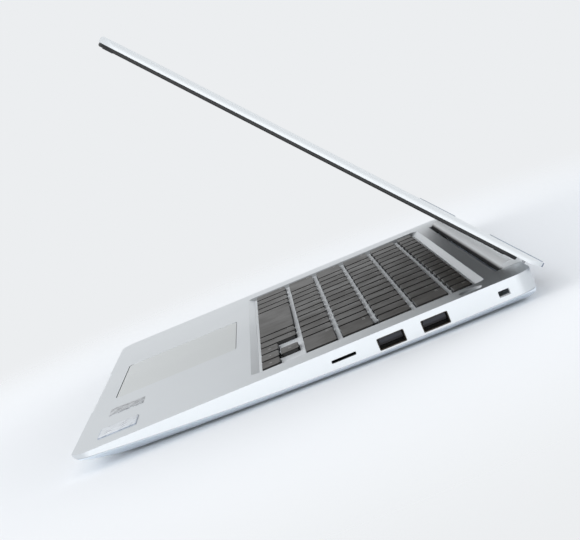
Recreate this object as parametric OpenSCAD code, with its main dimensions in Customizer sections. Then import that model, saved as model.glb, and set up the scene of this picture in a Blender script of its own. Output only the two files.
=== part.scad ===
// Fourteen-inch clamshell laptop, lid part way open.
// +X is the user's right, +Y the back, +Z up; the origin is the middle of the
// footprint of the open laptop, on the surface it stands on.
// The base is drawn in a deck frame (z = 0 on the palm rest, y = 0 mid-depth) that
// leans forward by the wedge angle; the lid is drawn closed and turned open.

/* [Base] */
// Width of base and lid
base_w = 326; // [310:1:345]
// Depth of the base, front lip to back wall
base_d = 231; // [228:0.5:240]
// Thickness of the base at mid-depth, without feet
base_t = 11.4; // [11:0.1:14]
// Wedge angle between deck and floor
deck_tilt = 1; // [0.6:0.1:1.2]
// Radius of the vertical corners in plan
corner_r = 9; // [5:0.5:14]
// Thickness of the deck skin
deck_t = 1.4; // [1.2:0.1:1.6]
// Thickness of the side walls of the top case
wall_t = 1.8; // [1.4:0.1:2.2]
// Thickness of the bottom cover
floor_t = 1.4; // [1.2:0.1:1.6]
// Length of the swept-up front underside
nose_run = 31.4; // [28:0.1:40]
// Height of the front lip's edge
lip_t = 0.62; // [0.5:0.02:1]
// Radius of the rounded lower back edge
heel_r = 7; // [4:0.5:9]
// Slope of the side bevel from the horizontal
bevel_angle = 21; // [16:1:26]
// Depth of the bevel's upper edge below the deck at its lowest point
bevel_drop = 10.1; // [9.6:0.1:10.6]
// Radius of the long curve of the bevel's upper edge
bevel_r = 2330; // [2100:10:2600]
// Height of the rubber feet
foot_h = 1.2; // [0.8:0.1:2]
// Width of the finger scoop in the front lip
scoop_w = 115; // [80:1:140]

/* [Keyboard] */
// Key pitch in both directions
key_pitch = 19.05; // [18.6:0.05:19.1]
// Gap between key caps
key_gap = 3; // [2.6:0.1:3.6]
// Pitch of the function row as a share of the key pitch
function_share = 0.65; // [0.6:0.01:0.68]
// Depth of the front row as a share of the key pitch
front_share = 1.2; // [1:0.01:1.2]
// Distance from the middle of the deck to the front of the key field
keys_front = 20.3; // [20:0.1:20.8]
// Depth of the key caps
cap_h = 2.5; // [2.3:0.1:2.6]
// Travel of a key
key_travel = 1.3; // [1:0.1:1.5]
// Depth of the keyboard recess
recess_depth = 2; // [1.6:0.1:2.2]
// Width of the sloped walls of the recess
recess_slope = 3.6; // [3:0.1:5]
// Margin of the web round the key cells
web_margin = 0.6; // [0.4:0.1:0.8]
// Thickness of the web between the keys
web_t = 0.8; // [0.6:0.1:1]
// Clearance round a key in the web
key_clearance = 0.35; // [0.3:0.05:0.5]

/* [Touchpad and power button] */
// Width of the touchpad
pad_w = 105; // [95:1:108]
// Depth of the touchpad
pad_d = 70; // [64:1:72]
// Distance of the touchpad's centre left of the middle
pad_left = 10; // [6:1:14]
// Distance from the front lip to the touchpad
pad_front = 12.6; // [12:0.1:14]
// Clearance round the touchpad
pad_clearance = 0.35; // [0.3:0.05:0.5]
// Diameter of the dished recess of the power button
power_dish_d = 11.6; // [11:0.1:12]
// Diameter of the power button
power_d = 8.4; // [7.8:0.1:8.8]

/* [Lid] */
// Amount by which the closed lid is shorter than the base
lid_short = 1.9; // [1.5:0.1:5]
// Thickness of the back cover at the rim
cover_t = 3.2; // [3:0.1:4]
// Thickness of the display bezel
bezel_t = 1.7; // [1.5:0.1:1.7]
// Gap between deck and bezel when closed
lid_gap = 0.6; // [0.5:0.1:1]
// Distance from the lid's side edge to the display
bezel_side = 8.3; // [8.2:0.1:13]
// Distance from the lid's top edge to the display
screen_top = 13.5; // [12:0.5:16]
// Distance from the display to the lid's back edge
screen_bottom = 41.6; // [40:0.1:47]
// Angle between lid and deck as drawn
lid_open = 49.5; // [40:0.5:100]

/* [Hinge] */
// Distance of the hinge axis in front of the back wall
axis_in = 4.5; // [4.2:0.1:5]
// Depth of the hinge axis below the deck
axis_drop = 7; // [6.8:0.1:7.2]
// Outer radius of the hinge cover about the axis
barrel_r = 9.4; // [9.2:0.1:9.5]
// Distance from the side walls to the notch for the hinge cover
notch_side = 31; // [23:0.5:40]
// Distance of the notch's front edge from the hinge axis
notch_reach = 8.3; // [8.3:0.1:9]
// Diameter of the hinge pins
pin_d = 4; // [3:0.1:4.4]
// Radial running clearance of the hinge pins
pin_clearance = 0.05; // [0.03:0.01:0.09]

/* [Ports] */
// Width of a type A socket cut-out
usb_w = 13.4; // [13.2:0.1:14]
// Height of a type A socket cut-out
usb_h = 5.9; // [5.6:0.1:6.2]
// Distance of the sockets' centre line below the deck
port_drop = 5.95; // [5.8:0.05:6.1]
// Distance from the middle of the deck to the nearer right socket
usb_y = 43.1; // [40:0.1:44]
// Pitch of the two right sockets
usb_pitch = 21.9; // [18:0.1:24]
// Width of the memory card slot
card_w = 12.2; // [11.6:0.1:13]
// Height of the memory card slot
card_h = 1.5; // [1.3:0.1:1.8]
// Distance from the middle of the deck to the card slot
card_y = 19.6; // [19:0.1:22]
// Width of the security lock slot
lock_w = 5.5; // [5:0.1:7]
// Height of the security lock slot
lock_h = 3; // [2.5:0.1:3.2]
// Radius of the power jack's bore
jack_r = 2.3; // [2:0.1:2.6]
// Radius of the headphone jack's bore
audio_r = 1.8; // [1.7:0.05:1.9]

/* [Hidden] */

$fn = 48;
eps = 0.02;                 // overrun of a cut past a face
seat = 0.05;                // clearance between pieces that touch
part_gap = 0.15;            // parting line between top case and bottom cover
half_w = base_w / 2;
half_d = base_d / 2;

notch_w = base_w - 2 * notch_side;

// hinge axis in the deck frame
axis_y = half_d - axis_in;
axis_z = -axis_drop;

// lid, closed
lid_d = base_d - lid_short;
screen_w = base_w - 2 * bezel_side;
screen_h = lid_d - screen_top - screen_bottom;
lid_front = -half_d + 0.5;
lid_back = lid_front + lid_d;
bezel_z = lid_gap;
cover_z = bezel_z + bezel_t;
lid_top = cover_z + cover_t;
bezel_inset = 0.5;
bezel_back = axis_y - barrel_r - 0.2;
panel_margin = 2.8;
panel_lip = 0.55;
panel_t = 2.4;
cover_skin = 1.5;
tail_nose_r = 1.2;

// placing the deck frame in the world
deck_z = foot_h + base_t * cos(deck_tilt);
function turned(y, z, a) = [y * cos(a) - z * sin(a), y * sin(a) + z * cos(a)];
tail_corner = turned(lid_back - axis_y - tail_nose_r, lid_top - axis_z - tail_nose_r,
                     -lid_open);
tail_point = turned(axis_y + tail_corner[0], axis_z + tail_corner[1], deck_tilt);
back_reach = tail_point[0] + tail_nose_r;
front_reach = -half_d * cos(deck_tilt);
place_y = -(back_reach + front_reach) / 2;

// base underside in the deck frame
function floor_z(y) = -(base_t + y * tan(deck_tilt));
nose_y = -half_d + nose_run;
nose_a = nose_run * cos(deck_tilt) + (floor_z(nose_y) * -1 - lip_t) * sin(deck_tilt);
nose_h = -nose_run * sin(deck_tilt) + (floor_z(nose_y) * -1 - lip_t) * cos(deck_tilt);
nose_r = (pow(nose_a, 2) + pow(nose_h, 2)) / (2 * nose_h);
bevel_y = 70;
bevel_lip = 0.3;
part_r = bevel_r * cos(bevel_angle);

// sizes that are halved and cornered are kept to a hundredth
function snap(v) = round(v * 100) / 100;

// keyboard
row_units = 14.5;
keys_w = row_units * key_pitch;
key_rows = 5;
keys_y = -keys_front;
front_d = snap(front_share * key_pitch);
letters_d = front_d + (key_rows - 1) * key_pitch;
function_y = keys_y + letters_d;
function_d = function_share * key_pitch;
keys_d = letters_d + function_d;
field_w = snap(keys_w + 2 * web_margin);
field_d = snap(keys_d + 2 * web_margin);
field_y = keys_y + keys_d / 2;
field_back = field_y + field_d / 2;
cap_top = -0.1;
cap_skin = 0.9;
cap_wall = 1;
cap_r = 1.2;
cap_edge = 0.3;
function_count = 16;
web_z = -recess_depth;
plate_z = cap_top - cap_h - key_travel - 0.5;
plate_t = 0.5;
plate_rim = 1.5;
collar_w = 5.5;
front_units = [1.15, 1.05, 1.1, 1, 5, 1, 0.95];
shift_units = 2.25;
caps_units = 1.75;
tab_units = 1.5;
arrow_start = front_units * [1, 1, 1, 1, 1, 1, 1];
arrow_units = (row_units - arrow_start) / 3;
arrow_split = 1;
arrow_d = snap((front_d + key_gap - arrow_split) / 2);

// touchpad and power button
pad_x = -pad_left;
pad_y = -half_d + pad_front + pad_d / 2;
pad_r = 4;
pad_t = 1.3;
power_x = half_w - 8.6;
power_y = function_y + function_d / 2 + 1;
power_dish = 0.9;

// interior, heights in the deck frame
speaker_x = half_w - 28;
speaker_y = 59.5 - half_d;
board_t = 1;
board_z = -(port_drop + usb_h / 2 + board_t);
board_top = board_z + board_t;
board_front = 18;
board_back = half_d - 35.5;
card_z = -5.15;
card_lid = -3.5;
lock_y = half_d - 16.2;
lock_z = -5.65;
jack_y = 88;
jack_shell_r = jack_r + 0.6;
hdmi_y = 62;
hdmi_h = 5.6;
hdmi_z = board_top + seat + hdmi_h / 2;
usb_c_y = 40;
usb_c_h = 3.1;
usb_c_z = board_top + seat + usb_c_h / 2;
audio_y = 22;
audio_h = 5.8;
audio_z = board_top + seat + audio_h / 2;
audio_shell_r = audio_r + 0.6;
fan_x = 70 - half_w;
fan_y = 52;
fan_size = 56;
fan_h = 5;
fan_z = -10.2;
rotor_r = 24;
screw_r = 0.95;
screw_head_r = 2.2;
boss_r = 2.8;
arm_x = half_w - 53.5;
arm_w = 7;
arm_z = -10;
arm_t = 1.4;
arm_pad_w = 20;
arm_screw_y = field_back + plate_rim + 0.3 + boss_r;
arm_screw_x = [arm_x - 6.5, arm_x + 6.5];
pin_in = 1;
lid_arm_gap = 1.2;
lid_arm_w = 12;
lid_arm_x = arm_x + arm_w / 2 + lid_arm_gap;
back_wall_w = 2 * (arm_x - arm_w / 2 - 2);
notch_y = axis_y - notch_reach;
screw_front = 37.5 - half_d;
screw_back = half_d - 31.5;
screw_rear_x = half_w - 17;
screw_places = [[23 - half_w, screw_front], [-75, screw_front], [60, screw_front],
                [half_w - 23, screw_front], [13 - half_w, 4], [half_w - 13, 4],
                [-screw_rear_x, screw_back], [-30, arm_screw_y], [40, arm_screw_y],
                [screw_rear_x, screw_back]];
foot_w = 8;

// ---------- placing ----------

module placed() translate([0, place_y, 0]) children();

module on_deck() placed() translate([0, 0, deck_z]) rotate([deck_tilt, 0, 0]) children();

// pieces drawn from the floor up, seen from the deck frame
module on_floor() rotate([-deck_tilt, 0, 0]) translate([0, 0, -deck_z]) children();

module on_lid()
    on_deck() translate([0, axis_y, axis_z]) rotate([-lid_open, 0, 0])
        translate([0, -axis_y, -axis_z]) children();

module both_sides() {
    children();
    mirror([1, 0, 0]) children();
}

// ---------- shapes ----------

module rounded_rect(w, d, r) {
    square([w - 2 * r, d], center = true);
    square([w, d - 2 * r], center = true);
    for (x = [-1, 1], y = [-1, 1])
        translate([x * (w / 2 - r), y * (d / 2 - r)]) circle(r);
}

module block(w, d, h, r) linear_extrude(h) rounded_rect(w, d, r);

// extrudes a [y, z] outline along x, centred
module along_x(w) translate([-w / 2, 0, 0]) rotate([90, 0, 90]) linear_extrude(w) children();

// a plate whose edge follows an outline [out, z] all round; out = 0 is the corner centre
module rim_plate(w, d, r, outline) {
    z0 = min([for (p = outline) p[1]]);
    z1 = max([for (p = outline) p[1]]);
    translate([-w / 2 + r, -d / 2 + r, z0]) cube([w - 2 * r, d - 2 * r, z1 - z0]);
    for (s = [0, 1]) rotate([0, 0, 180 * s]) {
        translate([w / 2 - r, d / 2 - r, 0]) rotate([90, 0, 0])
            linear_extrude(d - 2 * r) polygon(outline);
        translate([-(w / 2 - r), d / 2 - r, 0]) rotate([90, 0, 90])
            linear_extrude(w - 2 * r) polygon(outline);
    }
    for (x = [-1, 1], y = [-1, 1])
        translate([x * (w / 2 - r), y * (d / 2 - r), 0]) rotate_extrude() polygon(outline);
}

// a pocket with sloped walls, cut down from z = 0; w by d at its floor
module sloped_pocket(w, d, r, depth, slope) {
    out = slope * (depth + eps) / depth;
    translate([0, 0, -depth])
        rim_plate(w + 2 * out, d + 2 * out, r + out,
                  [[0, 0], [r, 0], [r + out, depth + eps], [0, depth + eps]]);
}

// ---------- base ----------

// side outline of the base, its walls inset and its top at top_z
module side_outline(inset, top_z) {
    nose_c = [nose_y + nose_r * sin(deck_tilt), floor_z(nose_y) + nose_r * cos(deck_tilt)];
    heel_c = [half_d - heel_r, floor_z(half_d - heel_r) + heel_r];
    difference() {
        polygon([[-half_d + inset, top_z], [half_d - inset, top_z],
                 [half_d - inset, floor_z(half_d) + inset],
                 [-half_d + inset, floor_z(-half_d) + inset]]);
        difference() {
            translate([-half_d - 1, floor_z(nose_y) - 5])
                square([nose_y + half_d + 1, base_t + 8]);
            translate(nose_c) circle(nose_r - inset, $fn = 720);
        }
        difference() {
            translate([heel_c[0], heel_c[1] - 2 * heel_r]) square(2 * heel_r);
            translate(heel_c) circle(heel_r - inset, $fn = 96);
        }
    }
}

// everything above the long curved bevel of one side
module above_bevel(inset)
    translate([half_w, bevel_y, -bevel_drop]) rotate([0, 90 - bevel_angle, 0])
        translate([-bevel_r, 0, 0])
            cylinder(r = bevel_r - inset, h = 4 * base_w, center = true, $fn = 1440);

// the base with upright walls
module straight_form(inset, top_z)
    intersection() {
        translate([0, 0, -2 * base_t])
            block(base_w - 2 * inset, base_d - 2 * inset, 3 * base_t, corner_r - inset);
        along_x(base_w) side_outline(inset, top_z);
    }

// the outer form of the base, or its cavity when inset
module base_form(inset, top_z)
    intersection() {
        straight_form(inset, top_z);
        above_bevel(inset);
        mirror([1, 0, 0]) above_bevel(inset);
    }

// everything above the parting line between top case and bottom cover
module above_parting(gap)
    translate([0, bevel_y, part_r - bevel_drop + bevel_lip]) rotate([0, 90, 0])
        cylinder(r = part_r + gap, h = base_w + 2, center = true, $fn = 1440);

module wall_ports() {
    // right wall, nearest the front first
    translate([half_w, 0, 0]) rotate([90, 0, 90]) translate([0, 0, -6]) {
        for (i = [0, 1]) translate([usb_y + i * usb_pitch, -port_drop, 0])
            block(usb_w, usb_h, 7, 0.6);
        translate([card_y, card_z, 0]) block(card_w, card_h, 7, 0.5);
        translate([lock_y, lock_z, 0]) block(lock_w, lock_h, 7, 0.4);
    }
    // left wall, from the back
    translate([-half_w, 0, 0]) rotate([90, 0, -90]) translate([0, 0, -6]) {
        translate([-jack_y, -port_drop, 0]) cylinder(r = jack_shell_r + 0.15, h = 7);
        translate([-hdmi_y, hdmi_z, 0]) linear_extrude(7) hdmi_outline(0.25);
        translate([-usb_c_y, usb_c_z, 0]) block(9.4, 3.4, 7, 1.65);
        translate([-audio_y, audio_z, 0]) cylinder(r = audio_shell_r + 0.15, h = 7);
    }
}

module hdmi_outline(grow) {
    w = 15 / 2 + grow;
    h = hdmi_h / 2 + grow;
    polygon([[-w, h], [w, h], [w, -h + 2.2], [w - 1.8, -h], [-w + 1.8, -h], [-w, -h + 2.2]]);
}

module top_case() {
    color("silver") on_deck() difference() {
        union() {
            intersection() {
                difference() {
                    base_form(0, 0);
                    straight_form(wall_t, -deck_t);
                }
                above_parting(0);
            }
            keyboard_collar();
            screw_posts();
            hinge_posts();
        }
        translate([0, field_y, 0])
            sloped_pocket(field_w, field_d, 0.6, recess_depth, recess_slope);
        translate([0, field_y, plate_z - 1]) block(field_w, field_d, 8, 0.6);
        translate([pad_x, pad_y, -4])
            block(pad_w + 2 * pad_clearance, pad_d + 2 * pad_clearance, 8, pad_r);
        power_opening();
        wall_ports();
        hinge_notch();
        finger_scoop();
        on_floor() screw_bores(0);
        hinge_bores();
    }
}

// frame under the deck that carries the keyboard plate
module keyboard_collar()
    translate([0, field_y, plate_z])
        block(field_w + 2 * collar_w, field_d + 2 * collar_w, -plate_z - deck_t / 2, 2);

// posts for the cover screws, cut off level with the cover's inner face
module screw_posts()
    intersection() {
        for (p = screw_places) translate([p[0], p[1], -20]) cylinder(r = boss_r, h = 19);
        base_form(floor_t + seat, -deck_t / 2);
    }

module screw_bores(grow)
    for (p = screw_places)
        translate([p[0], p[1], -1]) cylinder(r = screw_r + seat + grow, h = foot_h + 7.5);

module hinge_posts()
    both_sides() for (x = arm_screw_x)
        translate([x, arm_screw_y, arm_z + arm_t + seat])
            cylinder(r = boss_r, h = -arm_z - arm_t - seat - deck_t / 2);

module hinge_bores()
    both_sides() for (x = arm_screw_x)
        translate([x, arm_screw_y, arm_z]) cylinder(r = screw_r + seat, h = 6.5);

module power_opening()
    translate([power_x, power_y, 0]) {
        translate([0, 0, -power_dish])
            cylinder(h = power_dish + eps, r1 = power_d / 2 + 0.3, r2 = power_dish_d / 2);
        translate([0, 0, -4]) cylinder(h = 4, r = power_d / 2 + 0.3);
    }

// the notch in the back of the deck, right through the back wall
module hinge_notch() {
    translate([0, notch_y + 20, -deck_t - 1]) block(notch_w, 40, 5, 1.5);
    translate([-notch_w / 2, axis_y - 5, -15]) cube([notch_w, 20, 20]);
}

// the middle of the back wall stands on the bottom cover, under the hinge cover
module back_wall()
    intersection() {
        difference() {
            base_form(0, 0);
            base_form(wall_t, 2);
        }
        translate([-back_wall_w / 2, notch_y, -2 * base_t])
            cube([back_wall_w, 20, 2 * base_t - deck_t - 1]);
    }

// hollow in the front lip, for a finger under the lid's edge
module finger_scoop()
    translate([0, -half_d - 1, 3.7]) rotate([0, 90, 0])
        cylinder(r = 4.2, h = scoop_w, center = true);

module bottom_cover() {
    color("lightsteelblue") on_deck() difference() {
        union() {
            difference() {
                base_form(0, 0);
                base_form(floor_t, 2);
                above_parting(part_gap);
            }
            back_wall();
            board_posts();
        }
        on_floor() {
            screw_bores(0.15);
            screw_counterbores();
            fan_grille();
            speaker_grilles();
            rear_vents();
        }
        // room behind the hinges
        both_sides() translate([back_wall_w / 2, axis_y - 5.5, axis_z - 4.2])
            cube([(notch_w - back_wall_w) / 2, 20, 10]);
    }
}

module board_posts()
    intersection() {
        for (x = [31 - half_w, -40, 52, half_w - 31], y = [board_front + 5, board_back - 6])
            translate([x, y, -20]) cylinder(r = 2.2, h = 20 + board_z - seat);
        base_form(floor_t / 2, 0);
    }

module screw_counterbores()
    for (p = screw_places)
        translate([p[0], p[1], -1]) cylinder(r = screw_head_r + 0.2, h = foot_h + 1 + 0.7);

// rows of slots under the fan
module fan_grille()
    for (i = [-4:4])
        translate([fan_x, fan_y + 5.2 * i, -1])
            block(2 * sqrt(pow(23, 2) - pow(5.2 * i, 2)), 2, foot_h + floor_t + 3, 0.98);

module speaker_grilles()
    both_sides() for (i = [0:6])
        translate([speaker_x, speaker_y - 14 + 4.2 * i, -1])
            block(18, 1.6, foot_h + floor_t + 3, 0.78);

// slots under the hinge side for the warm air
module rear_vents()
    for (i = [-9:9]) if (abs(i) > 1)
        translate([9.5 * i, half_d - 7.6, -1]) block(7, 2, foot_h + floor_t + 3, 0.98);

module front_feet() {
    color("dimgray") placed() both_sides()
        translate([half_w - 65, 49.5 - half_d, 0]) rim_plate(46, foot_w, 3.9, foot_outline(3.9));
}

module rear_foot() {
    color("dimgray") placed()
        translate([0, half_d - 29.5, 0]) rim_plate(base_w - 78, foot_w, 3.9, foot_outline(3.9));
}

function foot_outline(r) = [[0, 0], [r - 0.5, 0], [r, 0.4], [r, foot_h], [0, foot_h]];

module cover_screws() {
    color("gainsboro") placed()
        for (p = screw_places) translate([p[0], p[1], foot_h]) difference() {
            union() {
                translate([0, 0, 0.1]) cylinder(r = screw_head_r, h = 0.6);
                cylinder(r = screw_r, h = 5.6);
            }
            for (a = [0, 90]) rotate([0, 0, a])
                translate([0, 0, 0]) cube([2.2, 0.6, 0.8], center = true);
        }
}

// ---------- hinge ----------

module hinge_base_brackets() {
    color("gray") on_deck() both_sides() difference() {
        union() {
            translate([arm_x, arm_screw_y, arm_z]) block(arm_pad_w, arm_w, arm_t, 1.5);
            translate([arm_x - arm_w / 2, arm_screw_y, arm_z])
                cube([arm_w, axis_y - arm_screw_y, arm_t]);
            translate([arm_x - arm_w / 2, axis_y, axis_z]) rotate([0, 90, 0])
                cylinder(r = pin_d / 2 + 1.3, h = arm_w);
        }
        translate([arm_x - arm_w, axis_y, axis_z]) rotate([0, 90, 0])
            cylinder(r = pin_d / 2 + pin_clearance, h = 2 * arm_w);
        for (x = arm_screw_x)
            translate([x, arm_screw_y, arm_z - 1]) cylinder(r = screw_r + 0.15, h = arm_t + 2);
    }
}

module hinge_screws() {
    color("gainsboro") on_deck() both_sides() for (x = arm_screw_x)
        translate([x, arm_screw_y, arm_z]) difference() {
            union() {
                translate([0, 0, -0.7]) cylinder(r = 1.9, h = 0.7 - seat / 2);
                translate([0, 0, -0.3]) cylinder(r = screw_r, h = 5.5);
            }
            for (a = [0, 90]) rotate([0, 0, a])
                translate([0, 0, -0.7]) cube([2, 0.5, 0.6], center = true);
        }
}

module hinge_pins() {
    color("darkgray") on_lid() both_sides()
        translate([arm_x - arm_w / 2 - pin_in, axis_y, axis_z]) rotate([0, 90, 0])
            cylinder(r = pin_d / 2, h = pin_in + arm_w + lid_arm_gap + lid_arm_w - 1);
}

// the lid's half of each hinge: a knuckle on the pin, an upright and a leaf in the lid
module hinge_lid_brackets() {
    leaf_z = cover_z + 0.3;
    leaf_t = 1;
    color("gray") on_lid() both_sides() difference() {
        union() {
            translate([lid_arm_x, axis_y, axis_z]) rotate([0, 90, 0])
                cylinder(r = pin_d / 2 + 1.3, h = lid_arm_w);
            translate([lid_arm_x, axis_y - 1.2, axis_z])
                cube([lid_arm_w, 2.4, leaf_z + leaf_t - axis_z]);
            translate([lid_arm_x - 12, axis_y - 22, leaf_z])
                cube([lid_arm_w + 12, 22, leaf_t]);
        }
        translate([lid_arm_x - 1, axis_y, axis_z]) rotate([0, 90, 0])
            cylinder(r = pin_d / 2 + 0.01, h = lid_arm_w + 2);
        for (x = [-8, 8]) translate([lid_arm_x + x, axis_y - 16, leaf_z - 1])
            cylinder(r = 1.1, h = 3);
    }
}

// the long curved cover that fills the notch and turns with the lid
module hinge_cover() {
    start_a = 180 - asin((cover_z - axis_z) / barrel_r) + 2;
    start_top = cover_z - seat;
    top_a = 180 - asin((start_top - axis_z) / barrel_r);
    end_a = 187.5;
    skin = 1;
    cover_w = notch_w - 1.2;
    flange_front = axis_y - barrel_r + 0.1;
    color("silver") on_lid() {
        along_x(cover_w) union() {
            translate([axis_y, axis_z]) intersection() {
                difference() {
                    circle(barrel_r, $fn = 180);
                    circle(barrel_r - skin, $fn = 180);
                }
                polygon([[0, 0], 20 * [cos(top_a), sin(top_a)], 20 * [cos(140), sin(140)],
                         20 * [cos(end_a), sin(end_a)]]);
            }
            polygon([[flange_front, start_top - 1], [flange_front, start_top],
                     [axis_y + barrel_r * cos(top_a), start_top],
                     [axis_y + (barrel_r - 1) * cos(start_a), start_top - 1]]);
        }
        both_sides() translate([cover_w / 2 - 0.5, 0, 0]) along_x(1)
            translate([axis_y, axis_z]) intersection() {
                difference() {
                    circle(barrel_r, $fn = 180);
                    circle(pin_d / 2 + 2, $fn = 48);
                }
                polygon([[0, 0], 20 * [cos(top_a), sin(top_a)], 20 * [cos(140), sin(140)],
                         20 * [cos(end_a), sin(end_a)]]);
            }
    }
}

// ---------- lid ----------

// outline of the lid from the side, closed: a soft front edge and a thin back nose
module lid_side_outline() {
    difference() {
        translate([lid_front, cover_z]) square([lid_d, cover_t]);
        // top edge of the lid, softened
        difference() {
            translate([lid_front - 1, lid_top - 2]) square([3, 3]);
            translate([lid_front + 2, lid_top - 2]) circle(2);
        }
        // back nose: rounded above, swept up below
        difference() {
            translate([lid_back - tail_nose_r, lid_top - tail_nose_r])
                square(2 * tail_nose_r);
            translate([lid_back - tail_nose_r, lid_top - tail_nose_r]) circle(tail_nose_r);
        }
        polygon([[lid_back + 1, cover_z - 1], [lid_back - 8, cover_z - 1],
                 [lid_back - 8, cover_z], [lid_back, cover_z + 1.2],
                 [lid_back + 1, cover_z + 1.2]]);
    }
}

module lid_cross_outline() {
    difference() {
        translate([-half_w, cover_z]) square([base_w, cover_t]);
        for (s = [-1, 1]) difference() {
            translate([s * half_w - 2.2, lid_top - 2.2]) square([4.4, 4.4]);
            translate([s * (half_w - 2.2), lid_top - 2.2]) circle(2.2);
        }
    }
}

module lid_cover() {
    panel_d = screen_h + 2 * panel_margin;
    panel_y = lid_front + screen_top + screen_h / 2;
    color("gainsboro") on_lid() difference() {
        intersection() {
            translate([0, lid_front + lid_d / 2, cover_z - 1])
                block(base_w, lid_d, cover_t + 2, corner_r - 1);
            along_x(base_w) lid_side_outline();
            translate([0, lid_back, 0]) rotate([90, 0, 0])
                linear_extrude(lid_d) lid_cross_outline();
        }
        // bay for the panel, the webcam board and the hinge leaves
        translate([0, panel_y - 3.2, cover_z - 1])
            block(screen_w + 2 * panel_margin + 0.6, panel_d + 8, lid_top - cover_skin - cover_z + 1, 0.5);
        both_sides() translate([lid_arm_x - 12 - 0.3, axis_y - 22.3, cover_z - 1])
            cube([lid_arm_w + 12.6, 22.3 + 1.5, 1 + 0.3 + 1 + seat]);
    }
}

module display_bezel() {
    bezel_front = lid_front + bezel_inset;
    bezel_d = bezel_back - bezel_front;
    screen_y = lid_front + screen_top + screen_h / 2;
    panel_d = screen_h + 2 * panel_margin;
    color("black") on_lid() difference() {
        translate([0, bezel_front + bezel_d / 2, 0])
            rim_plate(base_w - 2 * bezel_inset, bezel_d, corner_r - 1.5,
                      [[0, bezel_z], [corner_r - 2, bezel_z], [corner_r - 1.5, bezel_z + 0.5],
                       [corner_r - 1.5, cover_z - seat], [0, cover_z - seat]]);
        translate([0, screen_y, bezel_z - 1]) block(screen_w, screen_h, 4, 0.5);
        translate([0, screen_y, bezel_z + panel_lip])
            block(screen_w + 2 * panel_margin + 0.4, panel_d + 0.4, 4, 0.5);
        translate([0, lid_front + 6, bezel_z - 1]) cylinder(r = 1.7, h = 4);
        translate([0, lid_front + 6, bezel_z + panel_lip]) block(62, 4.8, 4, 0.5);
    }
}

module display_panel() {
    color("midnightblue") on_lid()
        translate([0, lid_front + screen_top + screen_h / 2, bezel_z + panel_lip + seat])
            block(screen_w + 2 * panel_margin, screen_h + 2 * panel_margin, panel_t, 0.4);
}

module webcam_module() {
    color("darkslategray") on_lid() translate([0, lid_front + 6, bezel_z]) {
        translate([0, 0, panel_lip + 0.45]) block(60, 4.2, 0.8, 0.4);
        translate([0, 0, 0.15]) cylinder(r = 1.5, h = panel_lip + 1);
    }
}

// soft pads that keep the closed lid off the deck
module lid_bumpers() {
    color("black") on_lid() both_sides() {
        for (y = [lid_front + 5, bezel_back - 8])
            translate([half_w - 12, y, bezel_z - 0.3]) cylinder(r = 2.6, h = 0.3);
        translate([60, lid_front + 5, bezel_z - 0.3]) cylinder(r = 2.6, h = 0.3);
    }
}

// ---------- keyboard ----------

function from_left(units) = -keys_w / 2 + units * key_pitch;
function row_y(row) = row < 1 ? keys_y : keys_y + front_d + (row - 1) * key_pitch;
function row_d(row) = row < 1 ? front_d : key_pitch;
function sum_to(list, i) = i <= 0 ? 0 : list[i - 1] + sum_to(list, i - 1);

// a hollow key cap; x, y are the front left of its cell, w and d the cell's size
module key_cap(x, y, w, d)
    translate([x + w / 2, y + d / 2, 0]) difference() {
        rim_plate(snap(w - key_gap), snap(d - key_gap), cap_r,
                  [[0, cap_top - cap_h], [cap_r, cap_top - cap_h], [cap_r, cap_top - cap_edge],
                   [cap_r - cap_edge, cap_top], [0, cap_top]]);
        translate([0, 0, cap_top - cap_h - 1])
            block(snap(w - key_gap) - 2 * cap_wall, snap(d - key_gap) - 2 * cap_wall,
                  cap_h - cap_skin + 1, 0.4);
    }

// the hole in the web for one cell
module key_well(x, y, w, d)
    translate([x + w / 2, y + d / 2, web_z - web_t - 1])
        block(snap(w - key_gap) + 2 * key_clearance, snap(d - key_gap) + 2 * key_clearance,
              web_t + 2, cap_r + key_clearance);

// one row of cells: first and last width in key units, and the count between them
module key_cells(row, start, count, units) {
    for (i = [0:count - 1])
        if ($wells) key_well(from_left(start + i * units), row_y(row), units * key_pitch, row_d(row));
        else key_cap(from_left(start + i * units), row_y(row), units * key_pitch, row_d(row));
}

module function_cells(first, last)
    for (i = [first:last]) {
        w = keys_w / function_count;
        if ($wells) key_well(-keys_w / 2 + i * w, function_y, w, function_d);
        else key_cap(-keys_w / 2 + i * w, function_y, w, function_d);
    }

module modifier_cells(first, last)
    for (i = [first:last])
        key_cells(0, sum_to(front_units, i), 1, front_units[i]);

// column 0, 1 or 2 of the arrow cluster; upper is 1 for the rear half of the row
module arrow_cell(column, upper) {
    x = from_left(arrow_start + column * arrow_units);
    y = keys_y + upper * (front_d - arrow_d);
    w = arrow_units * key_pitch;
    if ($wells) key_well(x, y, w, arrow_d);
    else key_cap(x, y, w, arrow_d);
}

module keycap_color() color("dimgray") on_deck() children();

module key_space() keycap_color() modifier_cells(4, 4, $wells = false);
module keys_modifier_left() keycap_color() modifier_cells(0, 3, $wells = false);
module keys_modifier_right() keycap_color() modifier_cells(5, 6, $wells = false);
module key_arrow_left() keycap_color() arrow_cell(0, 0, $wells = false);
module key_arrow_down() keycap_color() arrow_cell(1, 0, $wells = false);
module key_arrow_right() keycap_color() arrow_cell(2, 0, $wells = false);
module key_arrow_up() keycap_color() arrow_cell(1, 1, $wells = false);
module key_shift_left() keycap_color() key_cells(1, 0, 1, shift_units, $wells = false);
module keys_lower_row() keycap_color() key_cells(1, shift_units, 10, 1, $wells = false);
module key_shift_right()
    keycap_color() key_cells(1, shift_units + 10, 1, shift_units, $wells = false);
module key_caps_lock() keycap_color() key_cells(2, 0, 1, caps_units, $wells = false);
module keys_home_row() keycap_color() key_cells(2, caps_units, 11, 1, $wells = false);
module key_enter() keycap_color() key_cells(2, caps_units + 11, 1, caps_units, $wells = false);
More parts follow.
